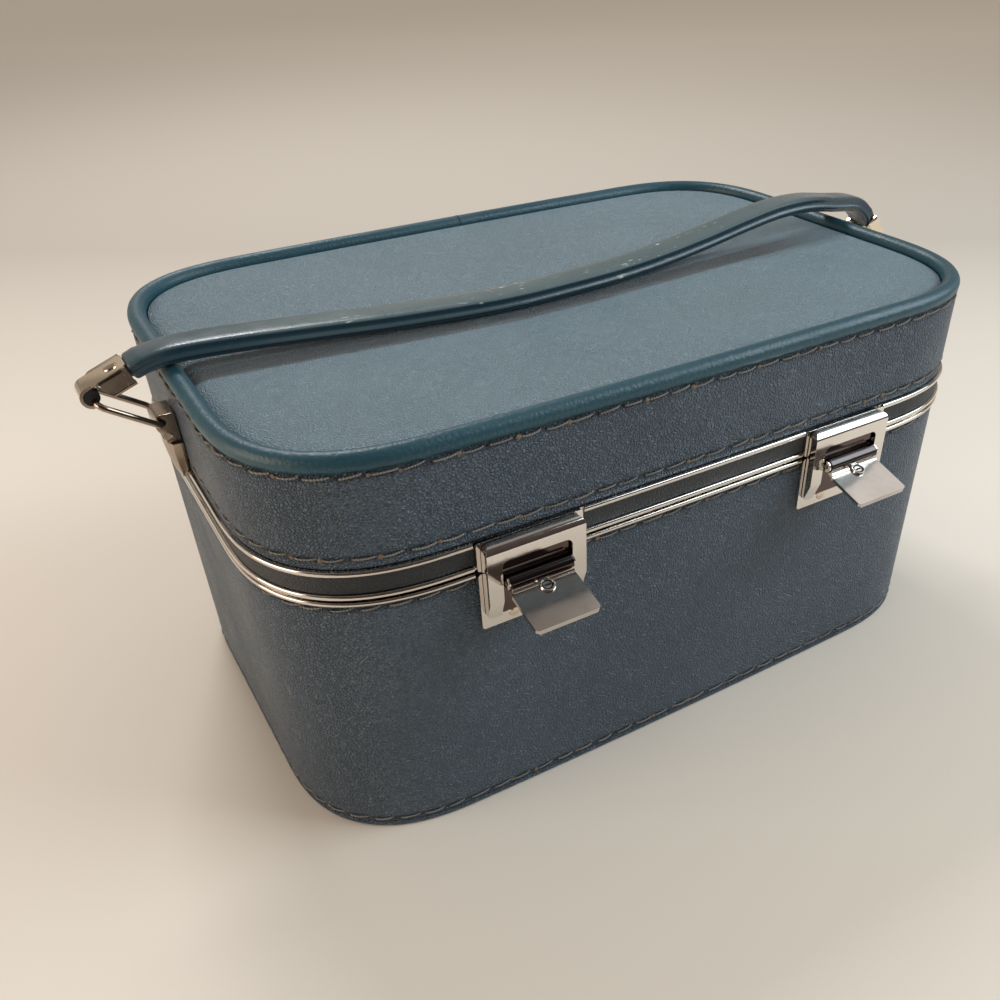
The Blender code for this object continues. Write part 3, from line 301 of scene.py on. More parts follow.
def eased(obj, width, segments=3, angle=30, level=True):
    """Rounded edges and smooth shading, applied; its flat faces are kept level in reflections."""
    step = obj.modifiers.new("ease", "BEVEL")
    step.width = width
    step.segments = segments
    step.limit_method = "ANGLE"
    step.angle_limit = math.radians(angle)
    step.harden_normals = False
    made = smoothed(evaluated(obj))
    if not level:
        return made
    step = made.modifiers.new("level", "WEIGHTED_NORMAL")
    step.keep_sharp = True
    return evaluated(made)


def joined(name, objects):
    """Several meshes as one object."""
    solid = bmesh.new()
    for obj in objects:
        obj.data.transform(obj.matrix_world)
        solid.from_mesh(obj.data)
        bpy.data.objects.remove(obj)
    mesh = bpy.data.meshes.new(name)
    solid.to_mesh(mesh)
    solid.free()
    made = bpy.data.objects.new(name, mesh)
    bpy.context.scene.collection.objects.link(made)
    return made


def tube(name, path, section, closed=False, up=(0, 0, 1)):
    """Carries a flat section along a path. The section's X stays level and its Y leans with the path."""
    count = len(path)
    verts = []
    for here in range(count):
        before = path[here - 1] if closed or here else path[0]
        after = path[(here + 1) % count] if closed or here < count - 1 else path[-1]
        along = (after - before).normalized()
        across = along.cross(Vector(up)).normalized()
        rise = across.cross(along)
        verts += [path[here] + across * a + rise * b for a, b in section]
    faces = grid_faces(count, len(section), closed, True)
    if not closed:
        last = (count - 1) * len(section)
        faces += [tuple(range(len(section))), tuple(range(last, last + len(section)))]
    return new_object(name, verts, faces)


def finish_piece(obj, material, body, replaces=()):
    obj.data.materials.clear()
    obj.data.materials.append(material)
    if body:
        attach(obj, body)
    if replaces:
        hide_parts(*replaces)
    return obj


# Materials. Bare numbers in them are noise scales, shares and strengths

SEAM_SOIL = (0.0003, 0.0016)
GRAIN_BUMP = 0.0009
SMOOTH_BUMP = 0.0004
FINE_BUMP = 0.0003
METAL_RUB_TURN = (0.0, 0.5, 0.3)
METAL_RUB_SCALE = (5200.0, 190.0, 420.0)
STRAP_SCRATCH = (0.62, 0.66, 0.64)
STRAP_SCRATCH_SCALE = (150.0, 1000.0, 300.0)
# The strap's shadow painted on the lid: its colour, streak scale, half width, soft edge, x and y spans, and
# where it fades out
STRAP_SHADOW_COLOUR = (0.060, 0.043, 0.036)
STRAP_SHADOW_STREAKS = (60.0, 700.0, 60.0)
STRAP_SHADOW_HALF = 0.0062
STRAP_SHADOW_SOFT = 0.0016
STRAP_SHADOW_X = (-0.165, 0.150)
STRAP_SHADOW_Y = (-0.040, 0.0)
STRAP_SHADOW_LAST_X = (0.105, 0.145)


class Nodes:
    """Short ways to add shader nodes to one tree."""

    def __init__(self, tree, coordinates):
        self.tree = tree
        self.place = tree.nodes.new("ShaderNodeTexCoord").outputs[coordinates]

    def link(self, value, socket):
        self.tree.links.new(value, socket)

    def node(self, kind, inputs=None, **settings):
        made = self.tree.nodes.new("ShaderNode" + kind)
        for key, value in settings.items():
            setattr(made, key, value)
        for key, value in (inputs or {}).items():
            if isinstance(value, bpy.types.NodeSocket):
                self.link(value, made.inputs[key])
            else:
                made.inputs[key].default_value = value
        return made

    def noise(self, scale, detail=2.0, rough=0.5, place=None):
        inputs = {"Vector": place or self.place, "Scale": scale, "Detail": detail, "Roughness": rough}
        return self.node("TexNoise", inputs).outputs["Fac"]

    def stretched(self, scale, turn=(0.0, 0.0, 0.0)):
        """The place with its own scale along each axis, for a noise that runs out into streaks."""
        return self.node("Mapping", {"Vector": self.place, "Rotation": turn, "Scale": scale}).outputs[0]

    def ramp(self, value, stops):
        made = self.node("ValToRGB", {"Fac": value})
        elements = made.color_ramp.elements
        while len(elements) < len(stops):
            elements.new(0.5)
        for element, (at, colour) in zip(elements, stops):
            element.position = at
            element.color = (*colour, 1.0)
        return made.outputs["Color"]

    def level(self, value, low, high, out_low=0.0, out_high=1.0):
        """Maps low and high to two new values, and holds what lies past them."""
        inputs = {"Value": value, "From Min": low, "From Max": high, "To Min": out_low, "To Max": out_high}
        return self.node("MapRange", inputs).outputs["Result"]

    def axes(self):
        return self.node("SeparateXYZ", {"Vector": self.place}).outputs

    def maths(self, operation, first, second=0.0):
        return self.node("Math", {0: first, 1: second}, operation=operation).outputs[0]

    def vector(self, operation, first, second, output="Vector"):
        return self.node("VectorMath", {0: first, 1: second}, operation=operation).outputs[output]

    def mix(self, share, first, second):
        """Mixes two colours, each a socket or (red, green, blue)."""
        sides = [side if isinstance(side, bpy.types.NodeSocket) else (*side, 1.0) for side in (first, second)]
        return self.node("Mix", {0: share, 6: sides[0], 7: sides[1]}, data_type="RGBA").outputs[2]


class Shading(Nodes):
    """A procedural material whose pattern sits on the object's own coordinates."""

    def __init__(self, name, roughness=0.5, metallic=0.0):
        self.material = bpy.data.materials.new(name)
        self.material.use_nodes = True
        super().__init__(self.material.node_tree, "Object")
        self.shader = self.tree.nodes["Principled BSDF"]
        self.shader.inputs["Roughness"].default_value = roughness
        self.shader.inputs["Metallic"].default_value = metallic

    def colour(self, value):
        self.link(value, self.shader.inputs["Base Color"])

    def rough(self, value):
        self.link(value, self.shader.inputs["Roughness"])

    def bump(self, height, strength, distance):
        inputs = {"Height": height, "Strength": strength, "Distance": distance}
        self.link(self.node("Bump", inputs).outputs["Normal"], self.shader.inputs["Normal"])


def darker(colour, share):
    return tuple(part * share for part in colour)


def vinyl(name, dark, light, roughness, grain, depth, marks=(), creases=(), shadow_line=()):
    """Embossed leather grain with soft mottling, dirt in the seams and marks where the case was knocked."""
    look = Shading(name)
    waves = {"Vector": look.place, "Scale": grain * 0.22, "Detail": 2.0}
    sway = look.vector("SUBTRACT", look.node("TexNoise", waves).outputs["Color"], (0.5, 0.5, 0.5))
    sway = look.node("VectorMath", {0: sway, "Scale": 1.6 / grain}, operation="SCALE").outputs[0]
    spot = look.vector("ADD", look.place, sway)
    cells = look.node("TexVoronoi", {"Vector": spot, "Scale": grain}, feature="DISTANCE_TO_EDGE")
    cells = cells.outputs["Distance"]
    height = look.maths("MULTIPLY", look.noise(grain * 2.3, 3.0, 0.6), 0.45)
    height = look.maths("ADD", look.level(cells, 0.0, 0.30), height)
    height = look.maths("ADD", height, look.maths("MULTIPLY", look.noise(grain * 0.16, 4.0, 0.6), 1.1))
    shade = look.mix(look.level(look.noise(9.0, 6.0, 0.62), 0.32, 0.68), dark, light)
    # Darker down in the grain's creases: partly dirt, partly painted shade
    shade = look.mix(look.level(cells, 0.0, 0.16, 0.22, 0.0), shade, darker(dark, 0.45))
    for row in creases:
        away = look.maths("ABSOLUTE", look.maths("SUBTRACT", look.axes()["Z"], row))
        soil = look.level(away, *SEAM_SOIL, 0.75, 0.0)
        soil = look.maths("MULTIPLY", soil, look.level(look.noise(60.0), 0.3, 0.6, 0.6, 1.0))
        shade = look.mix(soil, shade, darker(dark, 0.25))
    for place, size, colour, strength in marks:
        away = look.vector("DIVIDE", look.vector("SUBTRACT", spot, place), size)
        away = look.vector("LENGTH", away, (0.0, 0.0, 0.0), "Value")
        torn = look.level(look.noise(700.0, 4.0, 0.7), 0.40, 0.62)
        worn = look.maths("MULTIPLY", look.level(away, 0.3, 1.0, strength, 0.0), torn)
        shade = look.mix(worn, shade, colour)
    # A painted shadow of the strap, laid dark and streaky across the lid along the given line
    if shadow_line:
        shade = look.mix(painted_strap_shadow(look, shadow_line), shade, STRAP_SHADOW_COLOUR)
    look.colour(shade)
    look.bump(height, depth, GRAIN_BUMP)
    look.rough(look.level(look.noise(34.0, 5.0, 0.6), 0.3, 0.7, roughness - 0.07, roughness + 0.09))
    return look.material


def painted_strap_shadow(look, line):
    """How dark the lid is painted under the strap, as the strap's shadow, along the (x, y) points of line."""
    parts = look.axes()
    along = look.level(parts["X"], *STRAP_SHADOW_X)
    span = STRAP_SHADOW_X[1] - STRAP_SHADOW_X[0]
    reach = STRAP_SHADOW_Y[1] - STRAP_SHADOW_Y[0]
    stops = [((x - STRAP_SHADOW_X[0]) / span, ((y - STRAP_SHADOW_Y[0]) / reach,) * 3) for x, y in line]
    middle = look.level(look.ramp(along, stops), 0.0, 1.0, *STRAP_SHADOW_Y)
    away = look.maths("ABSOLUTE", look.maths("SUBTRACT", parts["Y"], middle))
    band = look.level(away, STRAP_SHADOW_HALF - STRAP_SHADOW_SOFT, STRAP_SHADOW_HALF, 0.62, 0.0)
    band = look.maths("MULTIPLY", band, look.level(parts["X"], *STRAP_SHADOW_LAST_X, 1.0, 0.0))
    streaks = look.noise(1.0, 3.0, 0.6, look.stretched(STRAP_SHADOW_STREAKS))
    return look.maths("MULTIPLY", band, look.level(streaks, 0.30, 0.70, 0.75, 1.15))


def worn_vinyl(name, deep, rubbed):
    """Smooth vinyl: deep colour down the sides, rubbed pale along the crown with fine scratches."""
    look = Shading(name)
    worn = look.node("Attribute", attribute_name="worn").outputs["Fac"]
    cloud = look.level(look.noise(45.0, 5.0, 0.65), 0.30, 0.70, 0.78, 1.0)
    shade = look.mix(look.maths("MULTIPLY", worn, cloud), deep, rubbed)
    scratches = look.level(look.noise(1.0, 2.0, 0.6, look.stretched(STRAP_SCRATCH_SCALE)), 0.66, 0.69)
    scratches = look.maths("MULTIPLY", scratches, look.level(look.noise(34.0, 2.0), 0.53, 0.60))
    look.colour(look.mix(look.maths("MULTIPLY", scratches, worn), shade, STRAP_SCRATCH))
    look.rough(look.level(look.noise(90.0, 4.0), 0.3, 0.7, 0.24, 0.38))
    ripples = look.maths("MULTIPLY", look.noise(130.0, 3.0), 2.0)
    look.bump(look.maths("ADD", look.noise(1400.0, 3.0), ripples), 0.18, SMOOTH_BUMP)
    return look.material


def metal(name, colour, roughness, tarnish=(0.5, 0.4, 0.3), age=0.15, rubbing=0.3):
    """Plating with a cloudy polish, fine rubbed scratches and tarnish in patches."""
    look = Shading(name, roughness, 1.0)
    cloud = look.level(look.noise(55.0, 5.0, 0.6), 0.35, 0.75, 0.0, age)
    rubs = look.noise(1.0, 2.0, 0.7, look.stretched(METAL_RUB_SCALE, METAL_RUB_TURN))
    rubs = look.level(rubs, 0.62, 0.74)
    shade = look.mix(cloud, colour, tarnish)
    look.colour(look.mix(look.maths("MULTIPLY", rubs, rubbing), shade, darker(colour, 0.6)))
    polish = look.level(look.noise(260.0, 4.0, 0.7), 0.35, 0.75, roughness, roughness + 0.05)
    look.rough(look.maths("ADD", polish, look.maths("MULTIPLY", rubs, rubbing * 0.4)))
    look.bump(look.noise(300.0, 2.0, 0.5), 0.03, FINE_BUMP)
    return look.material


def cloth(name, dark, light, roughness=0.85):
    look = Shading(name, roughness)
    waves = {"Vector": look.place, "Scale": 320.0, "Distortion": 0.6, "Detail": 1.0}
    weave = look.node("TexWave", waves).outputs["Fac"]
    look.colour(look.mix(look.maths("MULTIPLY", weave, look.noise(40.0)), dark, light))
    look.bump(weave, 0.3, FINE_BUMP)
    return look.material


SEAM_ROWS = {"base": (0.0048, 0.1116), "lid": (0.1320, 0.1623)}
PALE_SCUFF = (0.16, 0.18, 0.19)
GREEN_STAIN = (0.13, 0.20, 0.17)
WALL_MARKS = (
    ((-0.1055, -0.1000, 0.1500), (0.0030, 0.0060, 0.0055), PALE_SCUFF, 0.55),
    ((-0.1015, -0.1020, 0.1370), (0.0007, 0.0060, 0.0090), PALE_SCUFF, 0.40),
    ((-0.0560, -0.1080, 0.0700), (0.0040, 0.0060, 0.0025), PALE_SCUFF, 0.30),
    ((0.1000, -0.1000, 0.0400), (0.0060, 0.0100, 0.0020), PALE_SCUFF, 0.25),
)
# Where the strap's painted shadow runs across the top, as (x, y) points
STRAP_SHADOW_LINE = (
    (-0.1600, -0.0115), (-0.1120, -0.0170), (-0.0753, -0.0215), (-0.0333, -0.0250), (0.0, -0.0242),
    (0.0490, -0.0206), (0.0753, -0.0184), (0.1200, -0.0150),
)
TOP_MARKS = (
    ((0.1180, -0.0400, 0.1670), (0.0120, 0.0090, 0.0100), GREEN_STAIN, 0.45),
    ((0.0500, -0.0600, 0.1670), (0.0400, 0.0200, 0.0100), GREEN_STAIN, 0.22),
    ((0.1400, 0.0100, 0.1670), (0.0050, 0.0060, 0.0100), GREEN_STAIN, 0.40),
)
WALL_VINYL = vinyl("wall_vinyl", (0.060, 0.090, 0.127), (0.086, 0.122, 0.164), 0.38, 760.0, 1.0,
                   WALL_MARKS, SEAM_ROWS["base"] + SEAM_ROWS["lid"])
TOP_VINYL = vinyl("top_vinyl", (0.172, 0.250, 0.300), (0.208, 0.292, 0.344), 0.46, 900.0, 0.8, TOP_MARKS,
                  shadow_line=STRAP_SHADOW_LINE)
PIPING_VINYL = vinyl("piping_vinyl", (0.008, 0.054, 0.080), (0.016, 0.074, 0.102), 0.42, 420.0, 0.10)
STRIP_VINYL = vinyl("strip_vinyl", (0.014, 0.017, 0.020), (0.028, 0.031, 0.035), 0.5, 900.0, 0.3)
STRAP_VINYL = worn_vinyl("strap_vinyl", (0.018, 0.045, 0.066), (0.080, 0.120, 0.130))
THREAD = cloth("thread", (0.13, 0.12, 0.11), (0.34, 0.32, 0.29))
HOLE = cloth("stitch_hole", (0.010, 0.009, 0.009), (0.035, 0.024, 0.018), 0.9)
RUST = cloth("stitch_rust", (0.14, 0.095, 0.06), (0.28, 0.20, 0.13), 0.9)
CHROME = metal("chrome", (0.72, 0.68, 0.64), 0.07)
# Near-black plating on the hasp: a painted dark reflection of the dim room that its chrome mirrors
HASP_DARK_REFLECTION = metal("hasp_painted_reflection", (0.12, 0.088, 0.085), 0.10, (0.07, 0.05, 0.045), 0.5, 0.1)
# Near-black on the flap's rolled chrome barrel: a painted dark reflection of the dim room
BARREL_DARK_REFLECTION = metal("barrel_painted_reflection", (0.075, 0.065, 0.065), 0.14, (0.04, 0.03, 0.03), 0.4, 0.1)
# A dark cloth that paints the shade down in hollows: the latch's window, the lock's groove and the clip's
# curl
PAINTED_SHADE = cloth("painted_recess_shade", (0.010, 0.009, 0.009), (0.030, 0.026, 0.024), 0.4)
LOCK_CHROME = metal("lock_plating", (0.86, 0.83, 0.79), 0.18, (0.5, 0.45, 0.4), 0.15, 0.1)
FLAP_CHROME = metal("flap_plating", (0.66, 0.61, 0.57), 0.10, (0.40, 0.34, 0.29), 0.35, 0.12)
BRONZE = metal("worn_plating", (0.40, 0.325, 0.26), 0.16, (0.15, 0.10, 0.065), 0.55)
CLIP_BRONZE = metal("clip_plating", (0.70, 0.60, 0.48), 0.17, (0.40, 0.29, 0.19), 0.35)
DARK_STEEL = metal("dark_steel", (0.30, 0.29, 0.28), 0.30)
BOARD = cloth("board", (0.30, 0.22, 0.13), (0.42, 0.32, 0.20), 0.9)
LINING = cloth("lining", (0.20, 0.33, 0.38), (0.28, 0.43, 0.49))
FOAM = cloth("foam", (0.62, 0.58, 0.48), (0.70, 0.66, 0.56), 0.95)
GLASS = metal("looking_glass", (0.90, 0.91, 0.90), 0.01, (0.7, 0.7, 0.7), 0.05)


# Shell

PIPING_LOW, PIPING_HIGH = box_of("lid_piping")
PIPING_RADIUS = (PIPING_HIGH.z - PIPING_LOW.z) / 2
PIPING_INSET = 0.0034
PIPING_Z = (PIPING_HIGH.z + PIPING_LOW.z) / 2
PIPING_JOINT_X = 0.0065
PIPING_JOINT_RADIUS = 0.00030
COVER = 0.0010
EDGE_EASE = 0.0012
EDGE_DRAW = 0.0006
SEAM_DEPTH = 0.0006
SEAM_WIDTH = 0.0011
SEAM_STEPS = (-0.0030, -0.0018, -0.0009, 0.0, 0.0009, 0.0018, 0.0030)


def wall_profile(low, high, seams):
    """A vinyl sheet's section: eased in at both edges and drawn in a little along each seam."""
    heights = sorted(set(np.linspace(low, high, 24)) | {seam + step for seam in seams for step in SEAM_STEPS})
    profile = []
    for z in heights:
        edge = min(z - low, high - z)
        out = -EDGE_DRAW * max(0.0, 1 - edge / EDGE_EASE) ** 2
        for seam in seams:
            out -= SEAM_DEPTH * math.exp(-(((z - seam) / SEAM_WIDTH) ** 2))
        profile.append((out, z))
    return profile + [(-COVER, heights[-1]), (-COVER, heights[0])]


def piping_joint():
    """The dark line at the back where the piping's two ends meet."""
    (point,), (normal,) = on_outline(distance_near(PIPING_JOINT_X, wall_face(PIPING_JOINT_X)))
    out = Vector((*normal, 0))
    middle = Vector((*point, PIPING_Z)) - out * PIPING_INSET
    loop = circle((0, 0), PIPING_RADIUS - PIPING_JOINT_RADIUS / 2, 36)
    path = [middle + out * x + Vector((0, 0, z)) for x, z in loop]
    along = out.cross(Vector((0, 0, 1)))
    return tube("lid_piping_joint", path, circle((0, 0), PIPING_JOINT_RADIUS, 8), True, up=along)


def walls():
    for part, seams in SEAM_ROWS.items():
        low, high = box_of(f"{part}_wall_cover")
        wall = ring(f"{part}_wall_skin", wall_profile(low.z, high.z, seams))
        finish_piece(wall, WALL_VINYL, part, [f"{part}_wall_cover"])
    piping = ring("lid_edge_piping", round_profile(-PIPING_INSET, PIPING_Z, PIPING_RADIUS))
    finish_piece(piping, PIPING_VINYL, "lid", ["lid_piping"])
    finish_piece(piping_joint(), HOLE, "lid")
    low, high = box_of("base_welt")
    radius = (high.z - low.z) / 2
    welt = ring("base_edge_welt", round_profile(-radius, (high.z + low.z) / 2, radius, 14))
    finish_piece(welt, WALL_VINYL, "base", ["base_welt"])


# Rings of the padded top, as shares of its rim; its edge is drawn down, nearly all within the reach
PANEL_RINGS = (
    1.0, 0.999, 0.997, 0.993, 0.987, 0.975, 0.955, 0.92, 0.87, 0.80, 0.71, 0.60, 0.48, 0.36, 0.24, 0.12,
)
PANEL_EDGE_DROP = 0.0016
PANEL_EDGE_REACH = 0.0050


def top_panel():
    """The padded top with its padding: drawn down all round where it is sewn in beside the piping."""
    high = box_of("lid_top_cover")[1]
    foot = box_of("lid_top_pad")[0].z
    points, normals = on_outline(np.linspace(0, LINE_LENGTH, RING_STEPS, endpoint=False))
    rim = points - normals * (WALL_HIGH.x - high.x)
    verts = [(x, y, foot) for x, y in rim]
    for share in PANEL_RINGS:
        away = (1 - share) * CASE_DEPTH / 2
        level = high.z - PANEL_EDGE_DROP * math.exp(-3 * away / PANEL_EDGE_REACH)
        verts += [(x, y, level) for x, y in rim * share]
    count = len(rim)
    faces = grid_faces(len(PANEL_RINGS) + 1, count, False, True)
    last = len(PANEL_RINGS) * count
    verts += [(0, 0, high.z), (0, 0, foot)]
    faces += [(last + k, last + (k + 1) % count, len(verts) - 2) for k in range(count)]
    faces += [((k + 1) % count, k, len(verts) - 1) for k in range(count)]
    panel = new_object("lid_top_panel", verts, faces)
    finish_piece(panel, TOP_VINYL, "lid", ["lid_top_cover", "lid_top_pad"])


# Metal edging

LATCH_LOW, LATCH_HIGH = box_of("latch_right_lid_plate")
PLATE_HALF = (LATCH_HIGH.x - LATCH_LOW.x) / 2
LATCH_PLACE = (LATCH_HIGH.x + LATCH_LOW.x) / 2
HINGE_LOW, HINGE_HIGH = box_of("hinge_right_lid_leaf")
HINGE_HALF = (HINGE_HIGH.x - HINGE_LOW.x) / 2
HINGE_PLACE = (HINGE_HIGH.x + HINGE_LOW.x) / 2
BASE_RIM = 0.1153
TONGUE_FACE = 0.0061
TONGUE_BACK = 0.0069
LID_EDGING_BACK = 0.0058
LID_BEAD = 0.0020
CHANNEL_DEPTH = 0.0006
EDGING_SHEET = 0.0010
EDGING_GAP = 0.0008
BEAD_PROUD = 0.0013
BEAD_NOSE_SHARE = 0.55
STRIP_PROUD = 0.0002
STRIP_BACK = 0.0003
STEP_WIDTH = 0.00005
STEP_CLEAR = 0.0008


def gap_stops():
    """Places along the outline where the beads stop beside latches and hinges, in pairs."""
    found = []
    for x, y, half in ((LATCH_PLACE, -1, PLATE_HALF), (HINGE_PLACE, 1, HINGE_HALF)):
        reach = half + EDGING_GAP
        for side in (LEFT, RIGHT):
            ends = (side * x - reach, side * x + reach)
            found.append(sorted(distance_near(end, y * wall_face(end)) for end in ends))
    return found


GAPS = gap_stops()


def edging_stops():
    extra = [end + d for pair in GAPS for end in pair for d in (-STEP_WIDTH, STEP_WIDTH)]
    even = np.linspace(0, LINE_LENGTH, RING_STEPS, endpoint=False)
    clear = [d for d in even if all(abs(d - e) > STEP_CLEAR for e in extra)]
    return np.array(sorted(clear + extra))


def flattened(profile, distance):
    """The section at a place: where a latch or a hinge covers it, no bead stands past the strip."""
    inside = any(first < distance < last for first, last in GAPS)
    return [(min(out, STRIP_PROUD) if inside else out, z) for out, z in profile]


def bead(low, height, steps=8):
    """The rounded nose of a bead, from its lower edge to its upper one."""
    middle, half = low + height / 2, height / 2
    nose = half * BEAD_NOSE_SHARE
    angles = [-TURN / 4 + TURN / 2 * step / steps for step in range(steps + 1)]
    return [(BEAD_PROUD - nose + nose * math.cos(a), middle + half * math.sin(a)) for a in angles]


def edging():
    stops = edging_stops()
    low, high = box_of("base_valance")
    profile = bead(low.z, BASE_RIM - low.z) + [(-TONGUE_FACE, BASE_RIM), (-TONGUE_FACE, high.z)]
    profile += [(-TONGUE_BACK, high.z), (-TONGUE_BACK, low.z)]
    base = ring("base_edging", profile, stops, flattened)
    finish_piece(base, CHROME, "base", ["base_valance"])
    low, high = box_of("lid_valance")
    upper = high.z - LID_BEAD
    profile = [(-LID_EDGING_BACK, low.z)] + bead(low.z, LID_BEAD)
    profile += [(-CHANNEL_DEPTH, low.z + LID_BEAD), (-CHANNEL_DEPTH, upper)] + bead(upper, LID_BEAD)
    profile += [(-EDGING_SHEET, high.z), (-EDGING_SHEET, low.z + EDGING_SHEET)]
    lid = ring("lid_edging", profile + [(-LID_EDGING_BACK, low.z + EDGING_SHEET)], stops, flattened)
    finish_piece(lid, CHROME, "lid", ["lid_valance"])
    low, high = box_of("lid_valance_strip")
    profile = [(STRIP_PROUD, z) for z in (low.z, (low.z + high.z) / 2, high.z)]
    strip = ring("lid_edging_strip", profile + [(-STRIP_BACK, high.z), (-STRIP_BACK, low.z)])
    finish_piece(strip, STRIP_VINYL, "lid", ["lid_valance_strip"])


# Stitching

STITCH_PITCH = 0.0102
STITCH_SHIFT = 0.0007
STITCH_SHARES = (0.70, 0.90)
STITCH_LEAN = (0.0001, 0.0007)
STITCH_SAG = (-0.0002, 0.0003)
STITCH_STEPS = 9
THREAD_RADIUS = 0.00035
HOLE_RADIUS = 0.00065
HOLE_BACK = 0.0002
RUST_BACK = 0.0006
RUST_PROUD = 0.0001
RUSTY_SHARE = 0.45
PAD_SHARES = ((0, -0.4), (0.8, -0.2), (1, 0), (0.7, 0.25), (0, 0.3))


def pad_at(distance, height, radius, proud=0.0):
    """A low round bump on the wall: a needle hole's torn edge or the dirt caught in it."""
    (point,), (normal,) = on_outline(distance)
    out = Vector((*normal, 0))
    seat = Vector((*point, height)) + out * (proud - SEAM_DEPTH)
    place = axes_matrix(seat, out.cross(Vector((0, 0, 1))), (0, 0, 1))
    return turned("pad", [(radius * wide, radius * rise) for wide, rise in PAD_SHARES], place, 8)


def thread_path(start, reach, height, lean, sag):
    """One stitch's middle line: up from its hole, over the vinyl and down at the next hole."""
    path = []
    for step, (point, normal) in enumerate(zip(*on_outline(np.linspace(start, start + reach, STITCH_STEPS)))):
        share = step / (STITCH_STEPS - 1)
        bulge = math.sin(math.pi * share)
        out = THREAD_RADIUS * (2.4 * bulge ** 0.5 - 1.3) - SEAM_DEPTH * 0.6
        rise = lean * (share - 0.5) * 2 - sag * bulge
        path.append(Vector((*(point + normal * out), height + rise)))
    return path


def stitches(name, body, height, seed):
    """A row of long stitches with their needle holes, some of them rusty."""
    rng = random.Random(seed)
    count = round(LINE_LENGTH / STITCH_PITCH)
    pitch = LINE_LENGTH / count
    threads, holes, rust = [], [], []
    for number in range(count):
        start = number * pitch + rng.uniform(-STITCH_SHIFT, STITCH_SHIFT)
        reach = pitch * rng.uniform(*STITCH_SHARES)
        lean = rng.uniform(*STITCH_LEAN)
        path = thread_path(start, reach, height, lean, rng.uniform(*STITCH_SAG))
        threads.append(tube("stitch", path, circle((0, 0), THREAD_RADIUS * rng.uniform(0.8, 1.15), 6)))
        foot = height - lean
        holes.append(pad_at(start - HOLE_BACK, foot, HOLE_RADIUS * rng.uniform(0.7, 1.1)))
        if rng.random() < RUSTY_SHARE:
            rust.append(pad_at(start - RUST_BACK, foot, HOLE_RADIUS * rng.uniform(0.9, 1.9), RUST_PROUD))
    for label, pieces, look in (("threads", threads, THREAD), ("holes", holes, HOLE), ("rust", rust, RUST)):
        row = joined(f"{name}_{label}", pieces)
        row.data.shade_smooth()
        finish_piece(row, look, body)


# Latches: heights are above the floor, depths are out from SEAT, which is the wall behind the plates

SEAT = -wall_face(LATCH_PLACE - PLATE_HALF)
PARTING = 0.1158
CUT_LENGTH = 0.03
PIVOT_OUT = 0.0068
PIVOT_Z = 0.1120
PLATE_BACK = 0.0005
PLATE_SHEET = 0.0010
PLATE_CORNER = 0.0012
PLATE_EASE = 0.00035
PLATE_TOPS = {"lid": 0.1278, "base": BASE_RIM}
BEZEL_BACK = 0.0018
BEZEL_FACE = 0.0060
BEZEL_SHOULDER = (0.0038, 0.0034)
BEZEL_TOE = 0.0010
BEZEL_TAPER = 0.0085
BEZEL_BAR = 0.0070
BEZEL_CORNER = 0.0028
BEZEL_EASE = 0.0007
WINDOW_WIDTH = 0.0284
WINDOW_CORNER = 0.0026
WINDOW_OVERRUN = 0.0060
RECESS_OUT = 0.00158
RECESS_SHEET = 0.0001
RECESS_TOP_DROP = 0.0060
RECESS_FOOT_DROP = 0.0028
RECESS_WIDTH = 0.0288
RECESS_CORNER = 0.0010
HASP_THIN = 0.0026
HASP_FULL = 0.0046
HASP_BAR = 0.0037
HASP_CURVE = 0.0048
HASP_EASE = 0.0003
SLOT_SIZE = (0.0050, 0.0200, 0.0030)
SLOT_DROP = 0.0140
FLAP_SLOPE = math.radians(15)
KNUCKLE = 0.0033
BARREL = 0.0029
BARREL_BORE = 0.0019
BARREL_WIDTH = 0.0252
BARREL_EASE = 0.0003
FLAP_SHEET = 0.0015
FLAP_WIDTH = 0.0262
FLAP_START = 0.0037
FLAP_END = 0.0222
FLAP_CORNER = 0.0014
FLAP_SHIFT = 0.0005
FLAP_EASE = 0.0006
FLAP_FILLET = 0.0014
FLAP_TOP = FLAP_SHEET - KNUCKLE
WEB_SINK = 0.0001
WEB_REACH = 0.0006
FLAP_LIP_WIDTH = 0.0240
FLAP_LIP_OUTER = 0.0021
FLAP_LIP_INNER = 0.0010
FLAP_LIP_PAST = -0.1
PLUG_REACH = 0.0057
PLUG_HOLE = 0.0031
PLUG_HOLE_FOOT = -0.0100
PLUG_HOLE_RISE = 0.0012
PLUG_RISE = 0.0010
PLUG_FOOT = -0.0030
PLUG_RADIUS = 0.0030
KEY_SIZE = (0.0009, 0.0026, 0.0030)
KEYHOLE_RADIUS = 0.0021
RIVET_REACH = 0.0085
RIVET_RISE = 0.0036

# The plug's face as (radius, height from its rim): a rim, a groove and a middle disc
PLUG_FACE = (
    (PLUG_RADIUS, -0.0003), (0.0028, 0.0), (0.0024, 0.0), (0.0022, -0.0002), (KEYHOLE_RADIUS, -0.0012),
    (0.0016, -0.0012), (0.0015, -0.0004), (0.0, -0.0004),
)
KEYHOLE_SECTION = ((0.0, -0.0006), (KEYHOLE_RADIUS, -0.0006), (KEYHOLE_RADIUS, -0.0001), (0.0, -0.0001))
PLATE_RIVET = (
    (0.0, -0.0008), (0.0013, -0.0008), (0.0013, 0.0), (0.0023, 0.0), (0.0021, 0.0004), (0.0012, 0.0007),
    (0.0, 0.0008),
)


def latch_face(x, out):
    """Local X to the right and Y up, on a plane that stands out from the seat."""
    return axes_matrix((x, SEAT - out, 0), (1, 0, 0), (0, 0, 1))


def latch_side(x):
    """Local X out from the seat and Y up, on the latch's middle plane."""
    return axes_matrix((x, SEAT, 0), (0, -1, 0), (0, 0, 1))


